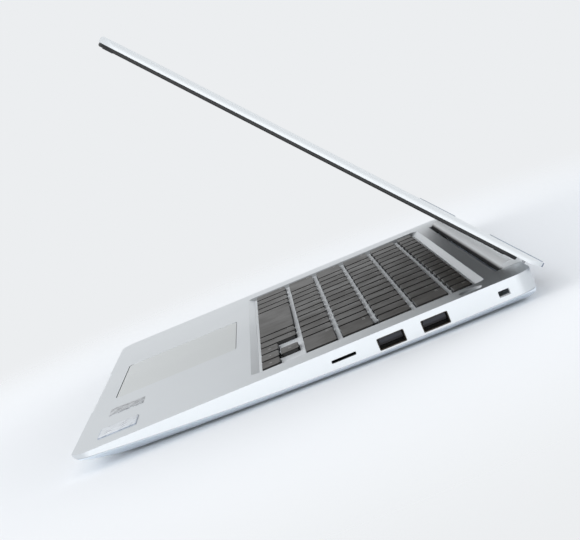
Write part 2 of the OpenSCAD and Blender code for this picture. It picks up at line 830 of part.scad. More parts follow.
module key_tab() keycap_color() key_cells(3, 0, 1, tab_units, $wells = false);
module keys_upper_row() keycap_color() key_cells(3, tab_units, 13, 1, $wells = false);
module keys_number_row() keycap_color() key_cells(4, 0, 13, 1, $wells = false);
module key_backspace() keycap_color() key_cells(4, 13, 1, tab_units, $wells = false);
module key_escape() keycap_color() function_cells(0, 0, $wells = false);
module keys_function_row() keycap_color() function_cells(1, function_count - 1, $wells = false);

module all_wells() {
    modifier_cells(0, 6, $wells = true);
    for (c = [0, 2]) arrow_cell(c, 0, $wells = true);
    key_cells(0, arrow_start + arrow_units, 1, arrow_units, $wells = true);
    key_cells(1, 0, 1, shift_units, $wells = true);
    key_cells(1, shift_units, 10, 1, $wells = true);
    key_cells(1, shift_units + 10, 1, shift_units, $wells = true);
    key_cells(2, 0, 1, caps_units, $wells = true);
    key_cells(2, caps_units, 11, 1, $wells = true);
    key_cells(2, caps_units + 11, 1, caps_units, $wells = true);
    key_cells(3, 0, 1, tab_units, $wells = true);
    key_cells(3, tab_units, 13, 1, $wells = true);
    key_cells(4, 0, 13, 1, $wells = true);
    key_cells(4, 13, 1, tab_units, $wells = true);
    function_cells(0, function_count - 1, $wells = true);
    // enter and the key behind it share one well
    translate([from_left(row_units - 1) + key_gap / 2 - key_clearance, row_y(3) - key_gap,
               web_z - web_t - 1])
        cube([key_pitch - key_gap + 2 * key_clearance, 2 * key_gap, web_t + 2]);
}

module keyboard_frame() {
    rim = 1.2;
    color("silver") on_deck() difference() {
        translate([0, field_y, 0]) difference() {
            translate([0, 0, plate_z + seat])
                block(field_w - 2 * seat, field_d - 2 * seat, web_z - plate_z - seat, 0.55);
            translate([0, 0, plate_z - 1])
                block(field_w - 2 * seat - 2 * rim, field_d - 2 * seat - 2 * rim,
                      web_z - web_t - plate_z + 1, 0.5);
        }
        all_wells();
    }
}

module keyboard_plate() {
    color("dimgray") on_deck()
        translate([0, field_y, plate_z - plate_t])
            block(field_w + 2 * plate_rim, field_d + 2 * plate_rim, plate_t - seat / 2, 1);
}

// one rubber dome under the middle of each key
module dome(x, y) {
    h = cap_top - cap_skin - plate_z - seat;
    translate([x, y, plate_z]) rotate_extrude($fn = 24)
        polygon([[0, 0], [2.6, 0], [2.4, h * 0.5], [1.3, h * 0.75], [1.3, h], [0, h]]);
}

module key_domes() {
    color("white") on_deck() {
        for (i = [0:6])
            dome(from_left(sum_to(front_units, i) + front_units[i] / 2), keys_y + front_d / 2);
        for (c = [0:2])
            dome(from_left(arrow_start + (c + 0.5) * arrow_units), keys_y + arrow_d / 2);
        dome(from_left(arrow_start + 1.5 * arrow_units), keys_y + front_d - arrow_d / 2);
        for (x = [shift_units / 2, row_units - shift_units / 2]) dome(from_left(x), row_y(1.5));
        for (i = [0:9]) dome(from_left(shift_units + i + 0.5), row_y(1.5));
        for (x = [caps_units / 2, row_units - caps_units / 2]) dome(from_left(x), row_y(2.5));
        for (i = [0:10]) dome(from_left(caps_units + i + 0.5), row_y(2.5));
        dome(from_left(tab_units / 2), row_y(3.5));
        for (i = [0:12]) dome(from_left(tab_units + i + 0.5), row_y(3.5));
        for (i = [0:12]) dome(from_left(i + 0.5), row_y(4.5));
        dome(from_left(13 + tab_units / 2), row_y(4.5));
        for (i = [0:function_count - 1])
            dome(-keys_w / 2 + (i + 0.5) * keys_w / function_count, function_y + function_d / 2);
    }
}

// ---------- touchpad and power button ----------

module touchpad() {
    color("lightgray") on_deck() translate([pad_x, pad_y, 0]) {
        translate([0, 0, -0.1 - pad_t])
            rim_plate(pad_w, pad_d, pad_r, [[0, 0], [pad_r, 0], [pad_r, pad_t - 0.2],
                      [pad_r - 0.2, pad_t], [0, pad_t]]);
        translate([0, 4, -0.1 - pad_t - 0.8]) block(pad_w - 12, pad_d - 14, 0.9, 2);
    }
}

// sheet-metal tray under the touchpad, hung from the deck
module touchpad_bracket() {
    tray_z = -3.6;
    tray_t = 0.5;
    flange = 5;
    color("gray") on_deck() translate([pad_x, pad_y + 2, 0]) {
        translate([0, 0, tray_z - tray_t]) block(pad_w + 2 * flange, pad_d - 4, tray_t, 2);
        for (s = [-1, 1]) translate([s * (pad_w / 2 + flange - 1), 0, tray_z - eps])
            block(2, pad_d - 8, -tray_z - deck_t + eps - seat, 0.5);
    }
}

module power_button() {
    color("silver") on_deck() translate([power_x, power_y, -power_dish - 1.5]) {
        rotate_extrude() polygon([[0, 0], [power_d / 2, 0], [power_d / 2, 1.3],
                                  [power_d / 2 - 0.2, 1.5], [0, 1.45]]);
    }
}

// ---------- inside the base ----------

module motherboard() {
    color("darkgreen") on_deck() difference() {
        translate([0, (board_front + board_back) / 2, board_z])
            block(2 * (half_w - 7), board_back - board_front, board_t, 1);
        // room for the fan
        translate([fan_x - fan_size / 2 - 1, fan_y - fan_size / 2 - 1, board_z - 1])
            cube([fan_size + 2, 80, 3]);
        // room for the screw posts at the back
        both_sides() translate([screw_rear_x, screw_back, board_z - 1]) cylinder(r = 6, h = 3);
    }
}

module processor() {
    color("darkslategray") on_deck() translate([0, 52, board_top + seat / 2]) {
        block(42, 24, 0.8, 0.4);
        translate([-4, 0, 0.7]) block(16, 10, 0.7, 0.2);
    }
}

heat_z = board_top + 1.4 + 2 * seat;
pipe_w = 7;
pipe_y = fan_y + fan_size / 2 + 1.5;

module heat_pipe() {
    color("peru") on_deck() {
        translate([-4, 52, heat_z]) block(34, 26, 0.7, 1);
        translate([0, 0, heat_z + 0.7 - eps]) linear_extrude(1.6) {
            translate([-pipe_w, 44]) square([pipe_w, pipe_y - 44 + eps]);
            intersection() {
                translate([-pipe_w, pipe_y]) circle(pipe_w);
                translate([-pipe_w, pipe_y]) square(pipe_w);
            }
            translate([fan_x - fan_size / 2, pipe_y])
                square([fan_size / 2 - fan_x - pipe_w + eps, pipe_w]);
        }
    }
}

// a stack of thin fins between two plates at the fan's mouth
module heat_sink() {
    fins = 18;
    top = heat_z + 0.7 - seat;
    low = fan_z + 0.2;
    depth = 11;
    y = fan_y + fan_size / 2 + 0.5;
    color("darkgray") on_deck() translate([fan_x - fan_size / 2 + 1, y, low]) {
        cube([fan_size - 2, depth, 0.4]);
        translate([0, 0, top - low - 0.4]) cube([fan_size - 2, depth, 0.4]);
        for (i = [0:fins - 1])
            translate([i * (fan_size - 2 - 0.4) / (fins - 1), 0, 0]) cube([0.4, depth, top - low]);
    }
}

module fan_housing() {
    color("dimgray") on_deck() translate([fan_x, fan_y, fan_z]) difference() {
        block(fan_size, fan_size, fan_h, 4);
        translate([0, 0, 0.6]) {
            cylinder(r = rotor_r + 1.2, h = fan_h - 1.2, $fn = 96);
            translate([-rotor_r - 1.2, 0, 0]) cube([2 * rotor_r + 2.4, fan_size, fan_h - 1.2]);
        }
        // air intakes above and below
        translate([0, 0, -1]) cylinder(r = 16, h = fan_h + 2, $fn = 96);
    }
    // three-armed hub carrier with the bearing pin
    color("dimgray") on_deck() translate([fan_x, fan_y, fan_z]) {
        cylinder(r = 7, h = 0.6);
        for (a = [30, 150, 270]) rotate([0, 0, a]) translate([0, -1.2, 0]) cube([17, 2.4, 0.6]);
        cylinder(r = 1, h = fan_h - 2.4);
    }
}

module fan_rotor() {
    blades = 29;
    rotor_h = fan_h - 2;
    color("black") on_deck() translate([fan_x, fan_y, fan_z + 1]) difference() {
        union() {
            cylinder(r = 9, h = rotor_h);
            for (i = [0:blades - 1]) rotate([0, 0, i * 360 / blades])
                translate([8.4, 0, 0.4]) rotate([0, 0, 25]) translate([-1, -0.25, 0])
                    cube([rotor_r - 8.4, 0.5, rotor_h - 0.8]);
        }
        translate([0, 0, -1]) cylinder(r = 1 + pin_clearance, h = rotor_h);
    }
}

module battery_pack() {
    cell_w = (base_w - 98) / 3;
    cell_h = 4;
    color("black") placed() translate([0, 65.5 - half_d, foot_h + floor_t + seat]) {
        for (i = [-1:1]) translate([i * (cell_w + 2), 0, 0]) block(cell_w, 44, cell_h, 2);
        translate([0, 0, 0]) block(3 * cell_w + 6, 46.5, 1, 2);
    }
}

module storage_module() {
    color("seagreen") placed() translate([80, -8, foot_h + floor_t + 1.5]) {
        block(80, 22, 0.8, 0.5);
        for (x = [-22, 2, 24]) translate([x, 0, 0.7]) block(18, 14, 1.4, 0.3);
        translate([-37, 0, 0.7]) block(5, 20, 1.6, 0.3);
        for (x = [-36, 36]) translate([x, 0, seat - 1.5]) cylinder(r = 2, h = 1.6);
    }
}

module memory_module() {
    color("seagreen") on_deck() translate([92, 44, board_top + seat / 2]) {
        translate([0, 0, 1.6]) block(67.6, 28, 1, 0.4);
        for (x = [-20, 0, 20]) translate([x, 2, 2.5]) block(11, 9, 1, 0.2);
        translate([0, -14, 0]) block(70, 6, 3.4, 0.4);
        for (s = [-1, 1]) translate([s * 34.6, 2, 0]) block(1.6, 26, 3, 0.3);
    }
}

module wireless_card() {
    color("seagreen") on_deck() translate([-36, 36, board_top + seat / 2]) {
        translate([0, 0, 1]) block(22, 30, 0.8, 0.4);
        translate([0, 3, 1.7]) block(16, 18, 1.3, 0.4);
        translate([0, -14, 0]) block(21, 4, 2.4, 0.3);
        translate([0, 13, 0]) cylinder(r = 2, h = 1.1);
    }
}

module speakers() {
    color("black") placed() both_sides()
        translate([speaker_x, speaker_y, foot_h + floor_t + seat]) difference() {
            block(24, 36, 4, 2);
            translate([0, -2, 2.8]) block(14, 22, 2, 3);
        }
}

// ---------- ports ----------

shell_t = 0.3;
shell_back = 0.6;

// metal shells of the two type A sockets
module usb_shells() {
    depth = 14;
    w = usb_w - 0.2;
    h = usb_h - 0.2;
    color("lightgray") on_deck()
        for (i = [0, 1])
            translate([half_w - shell_back, usb_y + i * usb_pitch, -port_drop])
                rotate([90, 0, 90]) translate([0, 0, -depth]) difference() {
                    block(w, h, depth, 0.5);
                    translate([0, 0, 0.8]) block(w - 2 * shell_t, h - 2 * shell_t, depth, 0.3);
                }
}

// insulating tongues inside the sockets
module usb_tongues() {
    color("midnightblue") on_deck()
        for (i = [0, 1])
            translate([half_w - shell_back - 13.2 + seat, usb_y + i * usb_pitch, -port_drop])
                rotate([90, 0, 90]) translate([0, 1.1, 0]) {
                    block(11.1, 1.9, 11, 0.2);
                    translate([0, -1.1, 0]) block(usb_w - 1.2, usb_h - 1.2, 3, 0.2);
                }
}

module card_reader() {
    color("darkgray") on_deck()
        translate([half_w - wall_t - 0.3, card_y, card_z]) rotate([90, 0, 90])
            translate([0, 0, -13]) difference() {
                translate([0, (board_top + seat + card_lid - card_z) / 2 - card_z / 2, 0])
                    block(card_w + 2.2, card_lid - board_top - seat, 13, 0.4);
                translate([0, 0, 1]) block(card_w - 0.2, card_h - 0.1, 13, 0.3);
            }
}

// steel plate behind the lock slot
module lock_plate() {
    color("gray") on_deck()
        translate([half_w - wall_t - 0.1, lock_y, lock_z]) rotate([90, 0, 90])
            translate([0, 0, -1.5]) difference() {
                block(11, 7.4, 1.5, 0.8);
                translate([0, 0, -1]) block(lock_w - 0.3, lock_h - 0.3, 4, 0.3);
            }
}

module power_jack() {
    color("black") on_deck()
        translate([-half_w + 0.4, jack_y, -port_drop]) rotate([90, 0, -90])
            translate([0, 0, -12]) difference() {
                union() {
                    cylinder(r = jack_shell_r, h = 12);
                    block(8, 7.6, 9.8, 0.8);
                }
                translate([0, 0, 2]) cylinder(r = jack_r, h = 12);
            }
    color("gold") on_deck()
        translate([-half_w + 0.4, jack_y, -port_drop]) rotate([90, 0, -90])
            translate([0, 0, -10.5]) cylinder(r = 0.5, h = 7.5);
}

module hdmi_socket() {
    color("lightgray") on_deck()
        translate([-half_w + shell_back, hdmi_y, hdmi_z]) rotate([90, 0, -90])
            translate([0, 0, -11]) {
                difference() {
                    linear_extrude(11) hdmi_outline(0);
                    translate([0, 0, 0.8]) linear_extrude(11) hdmi_outline(-shell_t);
                }
                translate([0, 0.4, 0]) block(11.6, 1.4, 8.6, 0.2);
            }
}

module usb_c_socket() {
    color("lightgray") on_deck()
        translate([-half_w + shell_back, usb_c_y, usb_c_z]) rotate([90, 0, -90])
            translate([0, 0, -7.5]) {
                difference() {
                    block(9, usb_c_h, 7.5, 1.5);
                    translate([0, 0, 0.8]) block(8.4, usb_c_h - 2 * shell_t, 7.5, 1.2);
                }
                block(6.7, 0.7, 6.6, 0.2);
            }
}

module audio_jack() {
    color("black") on_deck()
        translate([-half_w + 0.4, audio_y, audio_z]) rotate([90, 0, -90])
            translate([0, 0, -13]) difference() {
                union() {
                    cylinder(r = audio_shell_r, h = 13);
                    block(7, audio_h, 10.8, 0.6);
                }
                translate([0, 0, 1]) cylinder(r = audio_r, h = 13);
            }
}

lid_cover();
display_bezel();
display_panel();
webcam_module();
lid_bumpers();
hinge_cover();
hinge_lid_brackets();
hinge_pins();
top_case();
keyboard_frame();
keyboard_plate();
key_domes();
bottom_cover();
front_feet();
rear_foot();
cover_screws();
hinge_base_brackets();
hinge_screws();
motherboard();
processor();
heat_pipe();
heat_sink();
fan_housing();
fan_rotor();
battery_pack();
storage_module();
memory_module();
wireless_card();
speakers();
usb_shells();
usb_tongues();
card_reader();
lock_plate();
power_jack();
hdmi_socket();
usb_c_socket();
audio_jack();
touchpad();
touchpad_bracket();
power_button();
key_space();
keys_modifier_left();
keys_modifier_right();
key_arrow_left();
key_arrow_down();
key_arrow_right();
key_arrow_up();
key_shift_left();
keys_lower_row();
key_shift_right();
key_caps_lock();
keys_home_row();
key_enter();
key_tab();
keys_upper_row();
keys_number_row();
key_backspace();
key_escape();
keys_function_row();
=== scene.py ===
"""Studio scene of a thin laptop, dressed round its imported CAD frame.

Lengths in the scene are metres. Pieces are modelled flat in the frame of the deck or of
the closed lid, in millimetres of the real object, and then set in place.
"""

import logging
import math
from dataclasses import dataclass
from enum import Enum
from typing import Callable, Iterable, Iterator, Sequence

import bpy
from mathutils import Matrix, Vector

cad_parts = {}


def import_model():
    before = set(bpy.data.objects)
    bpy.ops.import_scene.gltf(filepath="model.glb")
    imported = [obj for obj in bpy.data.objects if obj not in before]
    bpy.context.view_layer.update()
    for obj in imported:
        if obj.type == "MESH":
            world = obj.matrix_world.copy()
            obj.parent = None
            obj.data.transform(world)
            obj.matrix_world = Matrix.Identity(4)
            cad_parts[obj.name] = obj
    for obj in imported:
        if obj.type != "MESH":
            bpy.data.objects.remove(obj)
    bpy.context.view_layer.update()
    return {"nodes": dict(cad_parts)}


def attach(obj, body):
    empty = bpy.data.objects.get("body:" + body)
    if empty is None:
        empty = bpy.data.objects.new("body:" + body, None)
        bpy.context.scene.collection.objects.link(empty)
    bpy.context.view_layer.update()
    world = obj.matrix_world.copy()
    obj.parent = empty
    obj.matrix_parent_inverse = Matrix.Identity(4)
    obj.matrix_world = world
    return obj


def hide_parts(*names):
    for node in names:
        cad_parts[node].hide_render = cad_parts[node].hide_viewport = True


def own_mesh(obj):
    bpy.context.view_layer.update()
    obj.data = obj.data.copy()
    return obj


log = logging.getLogger("scene")
MM = 0.001

Triple = tuple[float, float, float]


# ---------- the real object's sizes ----------


@dataclass(frozen=True)
class Layout:
    """Sizes that the dressing shares with the solids, in millimetres and degrees."""

    width: float = 326.0
    depth: float = 231.0
    thickness: float = 11.4
    foot: float = 1.2
    tilt: float = 1.0
    axis_in: float = 4.5
    axis_drop: float = 7.0
    lid_open: float = 49.5
    lid_depth: float = 229.1
    lid_inset: float = 0.5
    lid_top: float = 5.5
    nose: float = 1.2
    pitch: float = 19.05
    keys_front: float = 20.3
    front_row: float = 22.86
    row_units: float = 14.5
    last_row: int = 4
    space_middle: float = 6.8
    arrows_from: float = 11.25
    arrow_columns: int = 3
    function_share: float = 0.65
    cap_top: float = -0.1

    @property
    def lid_back(self) -> float:
        """Gives the rear edge of the closed lid, in deck millimetres."""
        return self.lid_inset - self.depth / 2 + self.lid_depth

    @property
    def axis(self) -> Vector:
        """Gives the middle of the hinge axis, in deck millimetres."""
        return Vector((0, self.depth / 2 - self.axis_in, -self.axis_drop))

    def row_back(self, row: int) -> float:
        """Gives the rear edge of a row of keys.

        Args:
            row: row number from the front.

        Returns:
            The edge in deck millimetres.
        """
        return self.front_row + row * self.pitch - self.keys_front

    def arrow_middle(self, column: int) -> float:
        """Gives the middle of a column of arrow keys, in key units from the left end."""
        wide = (self.row_units - self.arrows_from) / self.arrow_columns
        return self.arrows_from + (column + 0.5) * wide

    def deck(self) -> Matrix:
        """Gives the place of the deck frame.

        Returns:
            Matrix from deck millimetres to metres in the frame of the solids.
        """
        tilt = math.radians(self.tilt)
        rise = self.foot + self.thickness * math.cos(tilt)
        reach = self.depth / 2 * math.cos(tilt)
        swing = Matrix.Rotation(-math.radians(self.lid_open), 3, "X")
        corner = Vector((0, self.lid_back - self.nose, self.lid_top - self.nose))
        tail = self.axis + swing @ (corner - self.axis)
        back = (Matrix.Rotation(tilt, 3, "X") @ tail).y + self.nose
        middle = (reach - back) / 2
        place = Matrix.Translation((0, middle, rise)) @ Matrix.Rotation(tilt, 4, "X")
        return Matrix.Scale(MM, 4) @ place

    def lid(self) -> Matrix:
        """Gives the place of the closed lid's frame, turned open.

        Returns:
            Matrix from closed-lid millimetres to metres in the frame of the solids.
        """
        axis = Matrix.Translation(self.axis)
        swing = Matrix.Rotation(-math.radians(self.lid_open), 4, "X")
        return self.deck() @ axis @ swing @ axis.inverted()


LAYOUT = Layout()


# ---------- modelling with Blender's operators ----------


class Modeller:
    """Steps of mesh modelling that leave one finished object at the origin."""

    SMOOTH_BELOW = math.radians(40)

    @staticmethod
    def only(obj: bpy.types.Object) -> None:
        """Makes one object the selection and the active object.

        Args:
            obj: the object to select.
        """
        bpy.ops.object.select_all(action="DESELECT")
        obj.select_set(True)
        bpy.context.view_layer.objects.active = obj

    @classmethod
    def settle(cls, obj: bpy.types.Object, place: Matrix) -> bpy.types.Object:
        """Moves an object into the frame of the solids and applies the move to its mesh.

        Args:
            obj: the finished piece.
            place: matrix from the piece's own frame to the frame of the solids.

        Returns:
            The same object, at the origin, unturned and unscaled.
        """
        obj.matrix_world = place @ obj.matrix_world
        cls.only(obj)
        bpy.ops.object.transform_apply(location=True, rotation=True, scale=True)
        return obj

    @classmethod
    def join(cls, name: str, parts: Sequence[bpy.types.Object]) -> bpy.types.Object:
        """Joins several meshes into one object.

        Args:
            name: name of the joined piece.
            parts: the meshes; the first one is kept.

        Returns:
            The joined object.
        """
        cls.only(parts[0])
        for part in parts:
            part.select_set(True)
        bpy.ops.object.join()
        parts[0].name = name
        parts[0].data.name = name
        return parts[0]

    @staticmethod
    def _start(name: str, primitive: Callable[..., object],
               **settings: object) -> bpy.types.Object:
        """Adds a primitive and opens it in edit mode, selected all over.

        Args:
            name: name of the piece.
            primitive: the operator that adds it.
            **settings: the operator's settings.

        Returns:
            The new object.
        """
        bpy.ops.object.select_all(action="DESELECT")
        primitive(**settings)
        obj = bpy.context.object
        obj.name = name
        bpy.ops.object.mode_set(mode="EDIT")
        bpy.ops.mesh.select_all(action="SELECT")
        return obj

    @classmethod
    def _close(cls) -> None:
        """Turns the faces outwards, leaves edit mode and smooths all but sharp edges."""
        bpy.ops.mesh.select_all(action="SELECT")
        bpy.ops.mesh.normals_make_consistent(inside=False)
        bpy.ops.object.mode_set(mode="OBJECT")
        bpy.ops.object.shade_smooth_by_angle(angle=cls.SMOOTH_BELOW)

    @staticmethod
    def _raise(height: float) -> None:
        """Extrudes the selected face upwards."""
        bpy.ops.mesh.extrude_region_move(TRANSFORM_OT_translate={"value": (0, 0, height)})

    @classmethod
    def plate(cls, name: str, size: tuple[float, float], height: float,
              corner: float, edge: float) -> bpy.types.Object:
        """Makes a flat plate with rounded corners and a softened upper edge.

        Args:
            name: name of the piece.
            size: width and depth.
            height: thickness, upwards from z = 0.
            corner: radius of the corners in plan.
            edge: width of the soft upper edge.

        Returns:
            The plate, centred on the origin.
        """
        obj = cls._start(name, bpy.ops.mesh.primitive_plane_add, size=1)
        bpy.ops.transform.resize(value=(*size, 1))
        bpy.ops.mesh.bevel(offset=corner, segments=6, affect="VERTICES")
        bpy.ops.mesh.select_all(action="SELECT")
        cls._raise(height)
        bpy.ops.mesh.inset(thickness=edge, depth=edge * 0.6)
        cls._close()
        return obj

    @classmethod
    def disc(cls, name: str, radius: float, height: float, edge: float,
             sides: int = 48) -> bpy.types.Object:
        """Makes a round lens with a bevelled rim and a dished face.

        Args:
            name: name of the piece.
            radius: outer radius.
            height: thickness, upwards from z = 0.
            edge: width of the rim.
            sides: vertices round the edge.

        Returns:
            The disc, centred on the origin.
        """
        obj = cls._start(name, bpy.ops.mesh.primitive_circle_add, vertices=sides,
                         radius=radius, fill_type="NGON")
        cls._raise(height)
        for share in (0.4, -0.5):
            bpy.ops.mesh.inset(thickness=edge, depth=edge * share)
        cls._close()
        return obj

    @classmethod
    def stack(cls, name: str, rings: Sequence[tuple[float, float]],
              sides: int = 24) -> bpy.types.Object:
        """Makes a round solid from rings that stand on each other.

        Args:
            name: name of the piece.
            rings: radius and height of each ring, from the lowest.
            sides: vertices round each ring.

        Returns:
            The solid, on the origin.
        """
        obj = cls._start(name, bpy.ops.mesh.primitive_circle_add, vertices=sides,
                         radius=rings[0][0], fill_type="NGON")
        for (wide, low), (narrow, high) in zip(rings, rings[1:]):
            cls._raise(high - low)
            share = narrow / wide
            bpy.ops.transform.resize(value=(share, share, 1), center_override=(0, 0, high))
        cls._close()
        return obj

    @staticmethod
    def lettering(words: str, at: Vector, size: float) -> bpy.types.Object:
        """Makes flat lettering as a mesh.

        Args:
            words: the characters; a line break starts a second line.
            at: upper left corner.
            size: height of a line.

        Returns:
            The lettering as a mesh object.
        """
        bpy.ops.object.select_all(action="DESELECT")
        bpy.ops.object.text_add(location=at)
        obj = bpy.context.object
        obj.data.body = words
        obj.data.size = size
        obj.data.resolution_u = 3
        obj.data.space_line = 0.92
        obj.data.align_x = "LEFT"
        obj.data.align_y = "TOP"
        bpy.ops.object.convert(target="MESH")
        return bpy.context.object

    @classmethod
    def triangle(cls, at: Vector, radius: float, turn: float,
                 soft: float = 0.25) -> bpy.types.Object:
        """Makes a flat triangular arrow with soft corners.

        Args:
            at: middle of the arrow.
            radius: distance from the middle to a corner.
            turn: direction that it points in, degrees from +X.
            soft: width of the soft corners.

        Returns:
            The triangle as a mesh object.
        """
        obj = cls._start("arrow", bpy.ops.mesh.primitive_circle_add, vertices=3,
                         radius=radius, fill_type="NGON", location=at,
                         rotation=(0, 0, math.radians(turn - 90)))
        bpy.ops.mesh.bevel(offset=soft, segments=3, affect="VERTICES")
        bpy.ops.object.mode_set(mode="OBJECT")
        return obj


# ---------- shader maths ----------


class Wire:
    """A shader socket that takes part in sums and products."""

    def __init__(self, graph: "Graph", socket: bpy.types.NodeSocket) -> None:
        """Wraps one output of a node."""
        self.graph = graph
        self.socket = socket

    def __add__(self, other: "Wire | float") -> "Wire":
        """Adds a wire or a number."""
        return self.graph.math("ADD", self, other)

    def __sub__(self, other: "Wire | float") -> "Wire":
        """Takes a wire or a number away."""
        return self.graph.math("SUBTRACT", self, other)

    def __rsub__(self, other: float) -> "Wire":
        """Takes this away from a number."""
        return self.graph.math("SUBTRACT", other, self)

    def __mul__(self, other: "Wire | float") -> "Wire":
        """Multiplies by a wire or a number."""
        return self.graph.math("MULTIPLY", self, other)

    __radd__ = __add__
    __rmul__ = __mul__

    def ramp(self, low: float, high: float, start: float = 0.0, end: float = 1.0) -> "Wire":
        """Maps a range of the value smoothly onto another.

        Args:
            low: value that gives start.
            high: value that gives end.
            start: lower result.
            end: upper result.

        Returns:
            The mapped value.
        """
        return self.graph.add("ShaderNodeMapRange", "Result",
                              {"interpolation_type": "SMOOTHSTEP"},
                              {"Value": self, "From Min": low, "From Max": high,
                               "To Min": start, "To Max": end})


class Graph:
    """The node tree of one material or world, built from wires."""

    def __init__(self, owner: bpy.types.Material | bpy.types.World) -> None:
        """Opens the node tree of a new material or world and empties it.

        Args:
            owner: the material or world.
        """
        self.owner = owner
        owner.use_nodes = True
        self.tree = owner.node_tree
        self.tree.nodes.clear()

    def node(self, kind: str, settings: dict[str, object] | None = None,
             sockets: dict[str | int, object] | None = None) -> bpy.types.Node:
        """Adds a node, sets it and joins its sockets.

        Args:
            kind: Blender's name of the node type.
            settings: attributes, set first.
            sockets: wires or values of its inputs, by name or number.

        Returns:
            The new node.
        """
        made = self.tree.nodes.new(kind)
        for name, value in (settings or {}).items():
            setattr(made, name, value)
        for name, value in (sockets or {}).items():
            if isinstance(value, Wire):
                self.tree.links.new(value.socket, made.inputs[name])
            else:
                made.inputs[name].default_value = value
        return made

    def add(self, kind: str, output: str | int, settings: dict[str, object] | None = None,
            sockets: dict[str | int, object] | None = None) -> Wire:
        """Adds a node and gives one of its outputs.

        Args:
            kind: Blender's name of the node type.
            output: name or number of the output.
            settings: attributes, set first.
            sockets: wires or values of its inputs.

        Returns:
            The output.
        """
        return Wire(self, self.node(kind, settings, sockets).outputs[output])

    def math(self, operation: str, *values: "Wire | float") -> Wire:
        """Does a sum on wires and numbers.

        Args:
            operation: Blender's name of the operation.
            *values: the operands.

        Returns:
            The result.
        """
        return self.add("ShaderNodeMath", 0, {"operation": operation}, dict(enumerate(values)))

    def place(self, stretch: Sequence[float] = (1, 1, 1)) -> Wire:
        """Gives the point on the object, in metres, stretched along its axes.

        Args:
            stretch: factor along X, Y and Z.

        Returns:
            The point.
        """
        point = self.add("ShaderNodeTexCoord", "Object")
        if tuple(stretch) == (1, 1, 1):
            return point
        return self.add("ShaderNodeMapping", "Vector", {}, {"Vector": point, "Scale": stretch})

    def axis(self, name: str) -> Wire:
        """Gives one coordinate, X, Y or Z, of the point on the object, in metres."""
        return self.add("ShaderNodeSeparateXYZ", name, {}, {0: self.place()})

    def noise(self, scale: float, detail: float = 3.0, roughness: float = 0.5,
              stretch: Sequence[float] = (1, 1, 1)) -> Wire:
        """Gives cloudy noise between zero and one.

        Args:
            scale: grains per metre.
            detail: number of finer layers.
            roughness: share of the finer layers.
            stretch: factor along X, Y and Z.

        Returns:
            The noise.
        """
        return self.add("ShaderNodeTexNoise", "Fac", {},
                        {"Vector": self.place(stretch), "Scale": scale, "Detail": detail,
                         "Roughness": roughness})

    def cells(self, scale: float, feature: str = "F1") -> Wire:
        """Gives the distance pattern of scattered cells.

        Args:
            scale: cells per metre.
            feature: which distance is measured.

        Returns:
            The distance.
        """
        return self.add("ShaderNodeTexVoronoi", "Distance", {"feature": feature},
                        {"Vector": self.place(), "Scale": scale})

    def blend(self, share: Wire, low: Sequence[float] | Wire,
              high: Sequence[float] | Wire) -> Wire:
        """Mixes two colours.

        Args:
            share: how much of the second colour.
            low: first colour.
            high: second colour.

        Returns:
            The mixed colour.
        """
        ends = [end if isinstance(end, Wire) else (*end, 1.0) for end in (low, high)]
        return self.add("ShaderNodeMix", 2, {"data_type": "RGBA"},
                        {0: share, 6: ends[0], 7: ends[1]})

    def relief(self, height: Wire, depth: float, strength: float = 1.0) -> Wire:
        """Turns a height into a bumped normal.

        Args:
            height: the height, zero to one.
            depth: real depth of the relief in metres.
            strength: how much of it shows.

        Returns:
            The normal.
        """
        return self.add("ShaderNodeBump", "Normal", {},
                        {"Strength": strength, "Distance": depth, "Height": height})

    def surface(self, **sockets: "Wire | float | Sequence[float]") -> bpy.types.Material:
        """Finishes the material with the standard surface shader.

        Args:
            **sockets: shader inputs, with underscores for spaces.

        Returns:
            The material.
        """
        named = {name.replace("_", " "): value for name, value in sockets.items()}
        shader = self.add("ShaderNodeBsdfPrincipled", 0, {}, named)
        self.node("ShaderNodeOutputMaterial", {}, {"Surface": shader})
        return self.owner


def above_deck(graph: Graph, level: float = 0.0) -> Wire:
    """Gives the height above the tilted deck.

    Args:
        graph: the material's nodes.
        level: where the height is zero, in deck millimetres.

    Returns:
        The height in metres.
    """
    tilt = math.radians(LAYOUT.tilt)
    face = (LAYOUT.deck() @ Vector((0, 0, level))).yz
    zero = face.y * math.cos(tilt) - face.x * math.sin(tilt)
    return graph.axis("Z") * math.cos(tilt) - graph.axis("Y") * math.sin(tilt) - zero


def linear(code: str) -> Triple:
    """Turns a screen colour into linear light.

    Args:
        code: six hexadecimal digits.

    Returns:
        Red, green and blue, zero to one.
    """
    values = [int(code[i:i + 2], 16) / 255 for i in (0, 2, 4)]
    return tuple(v / 12.92 if v < 0.04045 else ((v + 0.055) / 1.055) ** 2.4 for v in values)


def toned(colour: Triple, factor: float, lift: float = 0.0) -> Triple:
    """Gives a lighter or darker kind of a colour.

    Args:
        colour: the colour.
        factor: what each part is multiplied by.
        lift: what is then added to it.

    Returns:
        The new colour, no part above one.
    """
    return tuple(min(1.0, part * factor + lift) for part in colour)


# ---------- finishes ----------


@dataclass(frozen=True)
class Finish:
    """A finish that can be put on CAD nodes and on modelled pieces."""

    name: str

    def graph(self) -> Graph:
        """Opens the node tree of a new material."""
        return Graph(bpy.data.materials.new(self.name))

    def build(self) -> bpy.types.Material:
        """Makes the material.

        Returns:
            The finished material.
        """
        raise NotImplementedError


